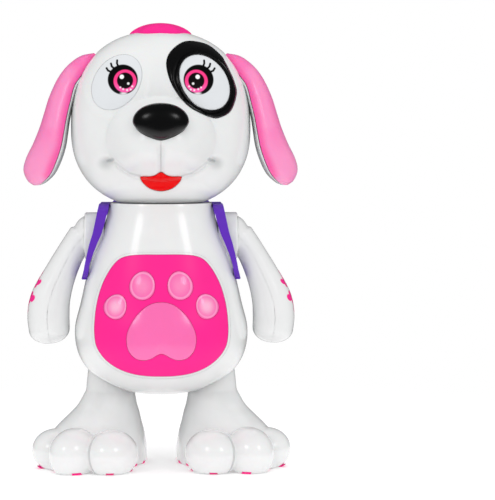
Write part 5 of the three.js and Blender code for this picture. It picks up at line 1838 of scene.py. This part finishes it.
@dataclass(frozen=True)
class Trunk:
    """The body's two shells, the battery cover and the tail."""

    cup_seat: tuple = (15.4, 36.6)
    spindle_radius: float = 12.0
    spindle_low: float = 140.0
    rim_out: float = 1.7
    rim_in: float = 1.4
    rim_depth: float = 0.35
    leg_halves: tuple = (16.8, 21.5)
    tunnel_top: float = 82.0
    hub_start: float = 20.0
    cover_half: float = 29.0
    cover_low: float = 56.5
    cover_high: float = 110.5
    cover_corner: float = 5.0
    cover_step: tuple = (24.5, 66.5)
    cover_depth: float = 1.0
    cover_screw: tuple = (-19.0, 61.0)
    cover_screw_radius: float = 3.2
    cover_screw_y: float = 41.0
    screws: tuple = ((25.0, 157.0), (45.0, 92.0))
    tail_z: float = 83.0
    tail_height: float = 33.0
    tail_width: float = 9.5
    tail_proud: float = 6.4
    tail_shares: tuple = (
        *((-0.1, 0.5), (-0.63, 0.5), (-1, 0.37), (-1, 0.21), (-1, 0.03), (-0.4, -0.08), (-0.12, -0.2)),
        *((0.02, -0.28), (0.05, -0.4), (0.02, -0.5), (0.35, -0.53), (0.95, -0.5), (1.12, -0.38)),
        *((1.2, -0.28), (0.75, -0.18), (0.68, -0.08), (0.62, 0), (0.79, 0.08), (0.79, 0.21), (0.79, 0.36)),
        *((0.42, 0.5), (-0.1, 0.5)),
    )

    def tail_outline(self) -> Array:
        """The tail's outline, a round bulb on a foot that points aside.

        Returns:
            The outline's points in X and Z.
        """
        points = np.array(self.tail_shares) * (self.tail_width, self.tail_height) + (0.0, self.tail_z)
        parts = []
        t = np.linspace(0, 1, 14, endpoint=False)[:, None]
        for i in range(0, len(points) - 1, 3):
            a, b, c, d = points[i : i + 4]
            parts.append(a * (1 - t) ** 3 + 3 * b * t * (1 - t) ** 2 + 3 * c * t**2 * (1 - t) + d * t**3)
        return np.concatenate(parts)

    def cover_outline(self) -> Array:
        """The battery cover's outline, with a step beside its screw.

        Returns:
            The outline's points in X and Z.
        """
        steps = 10
        box = rounded_box(self.cover_half, self.cover_low, self.cover_high, self.cover_corner, steps)
        (x, z), small = self.cover_step, 1.0
        step = [(-self.cover_half, z + small), (small - self.cover_half, z), (-x - small, z), (-x, z - small)]
        step += [(-x, self.cover_low + small), (small - x, self.cover_low)]
        return evenly(np.concatenate([box[: 2 * steps], np.array(step), box[3 * steps :]]), 200)

    def openings(self) -> list[Solid]:
        """The tunnels of the legs and the seats and hub holes of the shoulder cups.

        Returns:
            The solids that both shells are cut by.
        """
        tunnel = Solid.prism(oval((HIP_X, 0.0), self.leg_halves), Axis.Z, 0.0, self.tunnel_top)
        hub = Solid.rod(Axis.X, HUB_RADIUS + GAP, self.hub_start, FAR, SHOULDER)
        return on_both((tunnel, hub, Solid.rod(Axis.X, *self.cup_seat, FAR, SHOULDER)))

    def build(self, belly: Belly) -> None:
        """Makes the trunk.

        Args:
            belly: the belly, whose outline the front shell leaves open.
        """
        front_surface, rear_surface = BODY.surface(-1), BODY.surface(1)
        cavity = BODY.solid(-BODY.wall, BODY.top_z - BODY.wall, 96)
        spindle = Solid.rod(Axis.Z, self.spindle_radius, self.spindle_low, 2 * FAR, (0.0, 0.0))
        window = Solid.prism(grown(belly.outline(), GAP / 2), Axis.Y, -FAR, -1.0)
        rim = Solid.bed(grown(belly.outline(), self.rim_out), front_surface, -1, self.rim_depth, 2.0)
        rim.cut(Solid.bed(grown(belly.outline(), self.rim_in), front_surface, -1, 2.0, 4.0))
        front = BODY.solid(0.0, BODY.top_z)
        front.cut(front_half(), cavity.copy(), *self.openings(), spindle.copy(), rim, window)
        front.finish("body_front", Finishes.white, "body", ["body_front_shell"])
        cover_outline = self.cover_outline()
        rear = BODY.solid(0.0, BODY.top_z)
        posts, wells = screw_wells(self.screws, BODY.solid(-1.0, BODY.top_z, 96))
        hatch = Solid.bed(grown(cover_outline, GAP), rear_surface, 1, self.cover_depth, 8.0)
        rear.cut(rear_half(), cavity, *self.openings(), spindle, hatch)
        rear.join(*posts).cut(*wells)
        rear.finish("body_rear", Finishes.white, "body", ["body_rear_shell"])
        size = {"proud": 0.05, "sink": self.cover_depth - 0.05, "round_edge": 0.25, "rows": 24}
        cover = Solid.laid(cover_outline, rear_surface, 1, **size)
        tail_seat = Solid.prism(grown(self.tail_outline(), GAP), Axis.Y, 30.0, FAR)
        well = Solid.rod(Axis.Y, self.cover_screw_radius, self.cover_screw_y, FAR, self.cover_screw)
        cover.cut(well, tail_seat)
        cover.finish("battery_lid", Finishes.white, "body", ["battery_cover"])
        size = {"proud": self.tail_proud, "sink": 0.0, "round_edge": 2.6, "rows": 10}
        tail = Solid.laid(self.tail_outline(), rear_surface, 1, **size)
        tail.finish("tail_stub", Finishes.tail_pink, "body", ["tail"])


@dataclass(frozen=True)
class Arm:
    """A shoulder cup and the arm in it, made for the left."""

    cup_outer: float = 49.5
    cup_wall: float = 1.5
    cup_back: float = 2.0
    cup_round: float = 1.3
    hub_start: float = 27.0
    ball_x: float = 46.6
    ball_radius: float = 13.3
    ball_flat: float = 0.8
    lift: float = 50.0
    start_x: float = 49.9
    spine: tuple = ((50.2, 147.2), (57.4, 138.4), (65.8, 122.2), (71.8, 107.0), (73.3, 96), (72.8, 87.0))
    thickness: tuple = (10.4, 9.0, 10.5, 12.9, 13.6, 13.3)
    breadth: tuple = (11.6, 11.4, 12.4, 14.4, 16.0, 15.2)
    paw_reach: float = 9.6
    squareness: float = 2.2
    cell: float = 0.8
    seam_gap: float = 0.5
    seam_start: tuple = (44.0, 153.5)
    seam_end: tuple = ((71.0, 76.0), (69.0, 60.0))
    seam_top: float = 190.0
    seam_y: float = 30.0

    def build_cup(self, side: Side) -> None:
        """Makes the shoulder cup: a wide ring with a back wall and a hub.

        Args:
            side: the side it is made for.
        """
        cup = Solid.rod(Axis.X, CUP_RADIUS, CUP_INNER, self.cup_outer, SHOULDER)
        cup.rounded(self.cup_round, Axis.X, self.cup_outer)
        cup.cut(Solid.rod(Axis.X, CUP_RADIUS - self.cup_wall, CUP_INNER + self.cup_back, FAR, SHOULDER))
        cup.join(Solid.rod(Axis.X, HUB_RADIUS, self.hub_start, CUP_INNER + 1.0, SHOULDER))
        name = "shoulder_cup_" + side.word
        cup.on(side).finish(name + "_look", Finishes.white, "shoulder_" + side.word, [name])

    def limb(self) -> Solid:
        """The whole arm with its root ball.

        Returns:
            The arm as one solid.
        """
        table = curve_through(np.column_stack([self.spine, self.thickness, self.breadth]), 90)
        centres = table[:, :2]
        tangent = np.gradient(centres, axis=0)
        tangent /= np.linalg.norm(tangent, axis=1, keepdims=True)
        normal = np.stack([-tangent[:, 1], tangent[:, 0]], axis=1)
        across, back = squared_circle(self.squareness)
        rings = []
        for centre, out, (_, _, thick, broad) in zip(centres, normal, table):
            x, z = (centre + (thick * across)[:, None] * out).T
            rings.append(ring_at(x, broad * back, z))
        last, middle = rings[-1], np.array([centres[-1][0], 0.0, centres[-1][1]])
        ahead = np.array([tangent[-1][0], 0.0, tangent[-1][1]])
        for bend in np.linspace(0, math.pi / 2, 18)[1:]:
            out = self.paw_reach * math.sin(bend)
            rings.append(middle + (last - middle) * math.cos(bend) ** 0.9 + ahead * out)
        whole = Solid.rings(rings).join(self.ball(self.ball_flat)).melted(self.cell, 10)
        whole.cut(Solid.block((0.0, -FAR, 0.0), (self.start_x, FAR, 2 * FAR)))
        return whole.join(self.socket_ball())

    def ball(self, flat: float) -> Solid:
        """The root ball, made flatter by a share."""
        place = Matrix.Translation((self.ball_x, 0.0, SHOULDER[1]))
        return Solid.ball(self.ball_radius).moved(place @ Matrix.Scale(flat, 4, (1, 0, 0)))

    def socket_ball(self) -> Solid:
        """The part of the root ball that stays in the cup and shows when the arm lifts.

        Returns:
            The ball without the wedge that would turn into the cup's back wall.
        """
        room = self.ball_x - CUP_INNER - self.cup_back - GAP
        spread = math.acos(room / self.ball_radius)
        angle = np.linspace(math.pi - spread - math.radians(self.lift), math.pi + spread, 4)
        middle = (self.ball_x, SHOULDER[1])
        corners = np.vstack([middle, circle_at(middle, FAR, angle)])
        wedge = Solid.prism(corners, Axis.Y, -self.seam_y, self.seam_y)
        beyond = Solid.block((self.start_x + GAP, -FAR, 0.0), (FAR, FAR, 2 * FAR))
        return self.ball(1.0).cut(wedge, beyond)

    def side_of_seam(self, outer: bool) -> Solid:
        """All that lies on one side of the arm's seam.

        Args:
            outer: whether it is the outer side.

        Returns:
            A block with the seam's curve as one face.
        """
        line = curve_through((self.seam_start, *self.spine, *self.seam_end), 60)
        shift = self.seam_gap / 2 if outer else -self.seam_gap / 2
        line = line + np.array([[shift, shift * 0.5]])
        (start_x, start_z), low = self.seam_start, self.seam_end[-1][1]
        corners = [(0.0, low), (0.0, start_z)]
        if outer:
            corners = [(FAR, low), (FAR, self.seam_top), (start_x, self.seam_top)]
        return Solid.prism(np.concatenate([line, corners]), Axis.Y, -self.seam_y, self.seam_y)

    def build(self, side: Side) -> None:
        """Makes one cup and the arm's two halves.

        Args:
            side: the side they are made for.
        """
        self.build_cup(side)
        limb = self.limb()
        word = side.word
        for part, outer in (("outer", True), ("inner", False)):
            half = limb.copy().cut(self.side_of_seam(not outer)).on(side)
            half.finish(f"arm_{part}_{word}", Finishes.arms[side], "arm_" + word, [f"arm_{word}_{part}"])


@dataclass(frozen=True)
class Leg:
    """A leg with its broad foot of three toes, made for the left."""

    hip_z: float = 64.0
    bore: float = 3.3
    levels: tuple = (0, 9, 18, 26, 32, 38, 47)
    lengths: tuple = (38, 39.5, 37, 32, 26, 20, 15.2)
    widths: tuple = (29, 29.0, 26.8, 23, 20.3, 17.6, 15)
    forward: tuple = (13.5, 14, 12.5, 9.5, 6, 3, 0.5)
    squareness: float = 2.3
    toes: tuple = (
        (36.5, -24.2, 18.5, 16.5, 15.5),
        (47.5, -3.6, 18.5, 15, 16.5),
        (38.5, 17.2, 16, 14.5, 13.5),
    )
    webs: tuple = ((33.0, -14.0, 16.0, 7.0, 12.0), (36.0, 7.6, 15.0, 6.5, 12.0))
    toe_z: float = 11.5
    bottom: float = 0.5
    seat_top: float = 2.4
    out_share: float = 0.25
    cap_radius: float = 14.6
    cap_z: float = 62.0
    cap_rise: float = 12.0
    sole_inset: float = 2.9
    skirt: float = 1.6
    tab_count: int = 7
    tab_half: float = 2.6
    tab_top: float = 1.5
    cell: float = 0.8

    def place(self, ahead: Array, across: Array) -> tuple[Array, Array]:
        """Turns a place on the foot into X and Y.

        Args:
            ahead: how far ahead of the hip it lies.
            across: how far it lies outward.

        Returns:
            Its X and its Y.
        """
        turn = math.radians(FOOT_TURN)
        x = HIP_X + ahead * math.sin(turn) + across * math.cos(turn)
        return x, across * math.sin(turn) - ahead * math.cos(turn)

    def outline(self, long: float, wide: float, ahead: float) -> tuple[Array, Array]:
        """The foot's rounded outline in X and Y.

        Args:
            long: its half length.
            wide: its half width.
            ahead: how far its middle lies ahead of the hip.

        Returns:
            The X and the Y of its points.
        """
        along, aside = squared_circle(self.squareness)
        return self.place(ahead + long * along, ahead * self.out_share + wide * aside)

    def shin(self) -> Solid:
        """The leg without its toes.

        Returns:
            The leg from its sole to its round cap.
        """
        rows = np.column_stack([self.levels, self.lengths, self.widths, self.forward])
        rings = [ring_at(*self.outline(*sizes), z) for z, *sizes in curve_through(rows, 60)]
        angle = round_steps(RING_STEPS)
        for bend in np.radians(np.linspace(0, 88, 24)):
            radius = self.cap_radius * math.cos(bend)
            x, y = self.place(radius * np.cos(angle), radius * np.sin(angle))
            rings.append(ring_at(x, y, self.cap_z + self.cap_rise * math.sin(bend)))
        return Solid.rings(rings)

    def toe(self, place: tuple) -> Solid:
        """One toe as an egg.

        Args:
            place: how far ahead and across it lies, and its half length, half width and rise.

        Returns:
            The toe.
        """
        ahead, across, long, wide, rise = place
        there = Matrix.Translation((*self.place(ahead, across), self.toe_z))
        turn = Matrix.Rotation(math.radians(FOOT_TURN), 4, "Z")
        return Solid.ball(1.0).moved(there @ turn @ Matrix.Diagonal((wide, long, rise, 1.0)))

    def seats(self) -> list[Solid]:
        """The flat underside and the seat of the sole plate in it.

        Returns:
            The solids that the foot is cut by.
        """
        inset = self.sole_inset - GAP
        long, wide = (sizes[0] + self.skirt - inset for sizes in (self.lengths, self.widths))
        outline = self.outline(long, wide, self.forward[0])
        return [
            Solid.slab(Axis.Z, -FAR, self.bottom),
            Solid.prism(np.stack(outline, axis=1), Axis.Z, -10.0, self.seat_top),
        ]

    def notches(self) -> list[Solid]:
        """The notches in the foot's lower edge for the ends of the sole's bars.

        Returns:
            A bar for each notch and the one across from it.
        """
        x, y = self.place(self.forward[0], self.forward[0] * self.out_share)
        made = []
        for count in range(self.tab_count):
            turn = Matrix.Rotation(math.pi * count / self.tab_count, 4, "Z")
            bar = Solid.block((-FAR, -self.tab_half, -FAR), (FAR, self.tab_half, self.tab_top))
            made.append(bar.moved(Matrix.Translation((x, y, 0.0)) @ turn))
        return made

    def build(self) -> None:
        """Makes both legs."""
        skin = self.shin().join(*[self.toe(place) for place in (*self.toes, *self.webs)])
        skin.melted(self.cell, 7)
        shaft = Solid.rod(Axis.X, self.bore, 0.0, HIP_X + 12.0, (0.0, self.hip_z))
        skin.cut(*self.seats(), *self.notches(), shaft)
        for side in Side:
            name = "leg_" + side.word
            skin.on(side).finish(name + "_look", Finishes.foot, name, [name], crease=55.0)


@dataclass(frozen=True)
class Rucksack:
    """The rucksack with its flap and bone, and the two straps."""

    half: float = 36.0
    low: float = 108.5
    high: float = 171.5
    corner: float = 12.0
    step_y: float = 33.0
    rear_y: float = 57.0
    rear_round: float = 5.0
    neck_inset: float = 4.5
    neck_corner: float = 4.0
    neck_y: float = 12.0
    flap_half: float = 28.5
    flap_low: float = 114.0
    flap_high: float = 166.0
    flap_y: tuple = (57.3, 59.9)
    bone_half: float = 22.0
    bone_z: float = 131.0
    bone_y: tuple = (60.2, 62.0)
    knob: float = 6.4
    knob_z: float = 6.0
    shank_turn: float = 27.0
    notch_turn: float = 45.0
    strap_front: float = -20.8
    strap_low: float = 119.8
    strap_high: float = 168.3
    strap_corner: float = 14.0
    strap_thick: float = 2.6
    strap_levels: tuple = (116, 121, 131.5, 142.6, 151, 164, 170)
    strap_inner: tuple = (48.6, 47.4, 45.3, 41.2, 37.7, 34.2, 33)
    strap_outer: tuple = (51.5, 50.6, 48.6, 46, 43.5, 40.8, 39.6)
    strap_top: tuple = (31.5, 39.6)
    strap_tail: tuple = (9.0, 7.0)
    piping: float = 0.7
    pipes: tuple = (6.0, 11.0)

    def outline(self, shrink: float) -> Array:
        """The rucksack's outline, made smaller by an amount."""
        return rounded_box(self.half - shrink, self.low + shrink, self.high - shrink, self.corner - shrink)

    def pack(self) -> Solid:
        """The wide box with piping round it, and the narrower part before it.

        Returns:
            The rucksack, with room for the body and the shoulder cups.
        """
        steps = np.linspace(0, math.pi / 2, 10)
        insets, depths = self.rear_round * (1 - np.cos(steps)), self.rear_round * (1 - np.sin(steps))
        pipe_y = self.rear_y - self.rear_round - 1.2
        bands = [(1.0, self.step_y), (0.3, self.step_y + 0.3), (0.0, self.step_y + 1.0)]
        for y in (self.step_y + behind for behind in self.pipes):
            bands += [(0.0, y - 0.8), (self.piping, y - 0.3), (self.piping, y + 0.3), (0.0, y + 0.8)]
        bands += [(0.0, pipe_y - 0.9), (self.piping, pipe_y - 0.3), (self.piping, pipe_y + 0.3)]
        bands += zip(insets, self.rear_y - depths)
        inset = self.neck_inset
        small = rounded_box(self.half - inset, self.low + inset, self.high - inset, self.neck_corner)
        neck = Solid.prism(small, Axis.Y, self.neck_y, self.step_y + 1.0)
        room = Solid.rod(Axis.X, CUP_RADIUS + GAP, CUP_INNER - GAP, FAR, SHOULDER)
        box = Solid.banded(self.outline, bands).join(neck)
        return box.cut(BODY.solid(GAP, 2 * FAR, 96), *on_both([room]))

    def bone_outline(self) -> Array:
        """The bone's outline: two knobs at each end of a shank.

        Returns:
            The outline's points in X and Z.
        """
        x = self.bone_half - self.knob * 0.4
        shank, notch = math.radians(self.shank_turn), math.radians(self.notch_turn)
        arcs = [
            (x, self.knob_z, math.pi - shank, -notch),
            (x, -self.knob_z, notch, shank - math.pi),
            (-x, -self.knob_z, -shank, -math.pi - notch),
            (-x, self.knob_z, math.pi + notch, shank),
        ]
        return np.concatenate(
            [
                circle_at((across, self.bone_z + up), self.knob, np.linspace(start, end, 26))
                for across, up, start, end in arcs
            ]
        )

    def strap(self) -> Solid:
        """The left strap: over the shoulder, down its front and back along the body's side.

        Returns:
            The strap.
        """
        thick, end = self.strap_thick, self.step_y - GAP

        def loop(inset: float) -> Solid:
            """The strap's loop seen from the side, as a block.

            Args:
                inset: how much smaller it is made.

            Returns:
                The block.
            """
            corner = self.strap_corner - inset
            half = (FAR - self.strap_front) / 2 - inset
            outline = rounded_box(half, self.strap_low + inset, self.strap_high - inset, corner)
            outline[:, 0] += (FAR + self.strap_front) / 2
            return Solid.prism(outline, Axis.X, 0.0, FAR)

        sides = (self.strap_inner, self.strap_outer)
        inner, outer = (curve_through(np.column_stack([side, self.strap_levels]), 40) for side in sides)
        shape = Solid.prism(np.concatenate([inner, outer[::-1]]), Axis.Y, self.strap_front - 1.0, 0.0)
        front = loop(0.0).cut(loop(thick)).meet(shape)
        low, high = self.strap_top
        top = Solid.block((low, -0.2, self.strap_high - thick), (high, end, self.strap_high))
        start, tall = self.strap_front + self.strap_tail[0], self.strap_tail[1]
        band = Solid.block((0.0, start, self.strap_low), (FAR, end, self.strap_low + tall))
        side = BODY.solid(GAP + thick, 2 * FAR, 160).meet(band)
        whole = front.join(top, side).cut(BODY.solid(GAP, 2 * FAR, 160))
        return whole.cut(Solid.rod(Axis.X, CUP_RADIUS + 0.4, 0.0, FAR, SHOULDER))

    def build(self) -> None:
        """Makes the rucksack and its straps."""
        self.pack().finish("rucksack_shell", Finishes.purple, "body", ["backpack_shell"])
        outline = rounded_box(self.flap_half, self.flap_low, self.flap_high, self.corner)
        flap = Solid.prism(outline, Axis.Y, *self.flap_y).rounded(0.9, Axis.Y, self.flap_y[1])
        flap.finish("rucksack_flap", Finishes.purple, "body", ["backpack_flap"])
        bone = Solid.prism(self.bone_outline(), Axis.Y, *self.bone_y).rounded(0.6, Axis.Y, self.bone_y[1])
        bone.finish("pink_bone", Finishes.pink, "body", ["bone_badge"])
        strap = self.strap()
        for side in Side:
            name = "strap_" + side.word
            strap.on(side).finish(name + "_look", Finishes.purple, "body", [name])


class Inside:
    """The frame's own nodes that stay as they are."""

    kept = (
        "led_board",
        *(f"body_screw_{count}" for count in range(1, 5)),
        *("gearbox_case", "drive_motor", "hip_shaft", "battery_box"),
        *(f"battery_cell_{count}" for count in range(1, 4)),
        *("cover_screw", "speaker", "switch_body", "ear_motor", "ear_frame", "crown_switch", "neck_spindle"),
        *(f"head_screw_{count}" for count in range(1, 5)),
        *("ear_cam", "crank_gear", "drive_pinion", "sole_left", "sole_right"),
    )

    def build(self) -> None:
        """Gives each of them the finish of its material slot."""
        slots = {part["node"]: part["material_slot"] for part in frame["record"]["subparts"]}
        for name in self.kept:
            node = frame["nodes"][name]
            finish = Finishes.inside[slots[name]].material()
            if not node.material_slots:
                node.data.materials.append(finish)
            for place in node.material_slots:
                place.material = finish
            log.info("%s keeps its shape, in %s", name, slots[name])


@dataclass(frozen=True)
class Studio:
    """The camera, the lamps and the floor."""

    eye: tuple = (0.0, -1.296, 0.215)
    pitch: float = 3.39
    yaw: float = 2.4765
    lens: float = 144.0
    sensor: float = 36.0
    lamps: tuple = (
        ("left_lamp", (-0.75, -1.05, 0.85), 0.42, 1.8, True),
        ("right_lamp", (0.75, -1.05, 0.85), 0.42, 1.8, True),
        ("top_lamp", (0.0, 0.15, 1.5), 0.9, 1.0, False),
    )
    lamp_aim: tuple = (0.0, 0.0, 0.14)
    seen: tuple = (1.0, (1.0, 1.0, 1.0, 1.0))
    soft: tuple = (0.92, (1.0, 1.0, 1.0, 1.0))
    dim: tuple = (0.08, (0.95, 0.98, 1.0, 1.0))

    def build(self) -> None:
        """Sets up the studio."""
        scene = bpy.context.scene
        scene.view_settings.view_transform = "Standard"
        camera = bpy.data.objects.new("camera", bpy.data.cameras.new("camera"))
        camera.data.lens = self.lens
        camera.data.sensor_width = self.sensor
        camera.location = self.eye
        camera.rotation_euler = (math.radians(90 - self.pitch), 0.0, -math.radians(self.yaw))
        scene.collection.objects.link(camera)
        scene.camera = camera
        for lamp in self.lamps:
            self._lamp(*lamp)
        self._world()
        self._floor()

    def _lamp(self, name: str, place: tuple, size: float, power: float, mirrored: bool) -> None:
        """Adds a round lamp that looks at the dog.

        Args:
            name: its name.
            place: where it hangs.
            size: its diameter.
            power: its power in watts.
            mirrored: whether it shows in reflections.
        """
        light = bpy.data.lights.new(name, "AREA")
        light.shape = "DISK"
        light.size = size
        light.energy = power
        lamp = bpy.data.objects.new(name, light)
        lamp.location = place
        aim = Vector(self.lamp_aim) - Vector(place)
        lamp.rotation_euler = aim.to_track_quat("-Z", "Y").to_euler()
        lamp.visible_glossy = mirrored
        bpy.context.scene.collection.objects.link(lamp)

    def _world(self) -> None:
        """A white surrounding that is dimmer in reflections."""
        world = bpy.data.worlds.new("studio")
        bpy.context.scene.world = world
        world.use_nodes = True
        tree = world.node_tree
        tree.nodes.clear()
        path = tree.nodes.new("ShaderNodeLightPath")

        def glow(strength: float, colour: tuple) -> bpy.types.NodeSocket:
            """A background of one strength and colour.

            Args:
                strength: its strength.
                colour: its colour.

            Returns:
                Its socket.
            """
            made = tree.nodes.new("ShaderNodeBackground")
            made.inputs["Strength"].default_value = strength
            made.inputs["Color"].default_value = colour
            return made.outputs[0]

        def either(ray: str, no: bpy.types.NodeSocket, yes: bpy.types.NodeSocket) -> bpy.types.NodeSocket:
            """The second background for one kind of ray, the first for all others.

            Args:
                ray: the kind of ray.
                no: the background for all others.
                yes: the background for it.

            Returns:
                The chosen background's socket.
            """
            made = tree.nodes.new("ShaderNodeMixShader")
            for source, place in zip((path.outputs[ray], no, yes), made.inputs):
                tree.links.new(source, place)
            return made.outputs[0]

        lit = either("Is Glossy Ray", glow(*self.soft), glow(*self.dim))
        mixed = either("Is Camera Ray", lit, glow(*self.seen))
        out = tree.nodes.new("ShaderNodeOutputWorld")
        tree.links.new(mixed, out.inputs["Surface"])

    def _floor(self) -> None:
        """A round pale floor that fades into the white surrounding."""
        bm = bmesh.new()
        bmesh.ops.create_circle(bm, cap_ends=True, segments=96, radius=0.6)
        mesh = bpy.data.meshes.new("floor")
        bm.to_mesh(mesh)
        bm.free()
        floor = bpy.data.objects.new("floor", mesh)
        graph = Graph("floor_look")
        reach = graph.math("SQRT", graph.x * graph.x + graph.y * graph.y)
        inputs = {
            "Base Color": (0.93, 0.93, 0.93, 1.0),
            "Emission Color": (1.0, 1.0, 1.0, 1.0),
            "Emission Strength": 0.2,
            "Roughness": 0.9,
            "Specular IOR Level": 0.0,
            "Alpha": reach.fall(120.0, 420.0),
        }
        shader = graph.node("ShaderNodeBsdfPrincipled", None, inputs)
        graph.node("ShaderNodeOutputMaterial", None, {"Surface": shader.outputs[0]})
        mesh.materials.append(graph.material)
        bpy.context.scene.collection.objects.link(floor)


def main() -> None:
    """Builds the toy's looks piece by piece."""
    logging.basicConfig(level=logging.INFO, format="%(message)s")
    ear, belly, arm = Ear(), Belly(), Arm()
    Head().build(ear)
    Trunk().build(belly)
    belly.build()
    for side in Side:
        ear.build(side)
        arm.build(side)
    Leg().build()
    Rucksack().build()
    Inside().build()
    Studio().build()


if __name__ == "__main__":
    main()
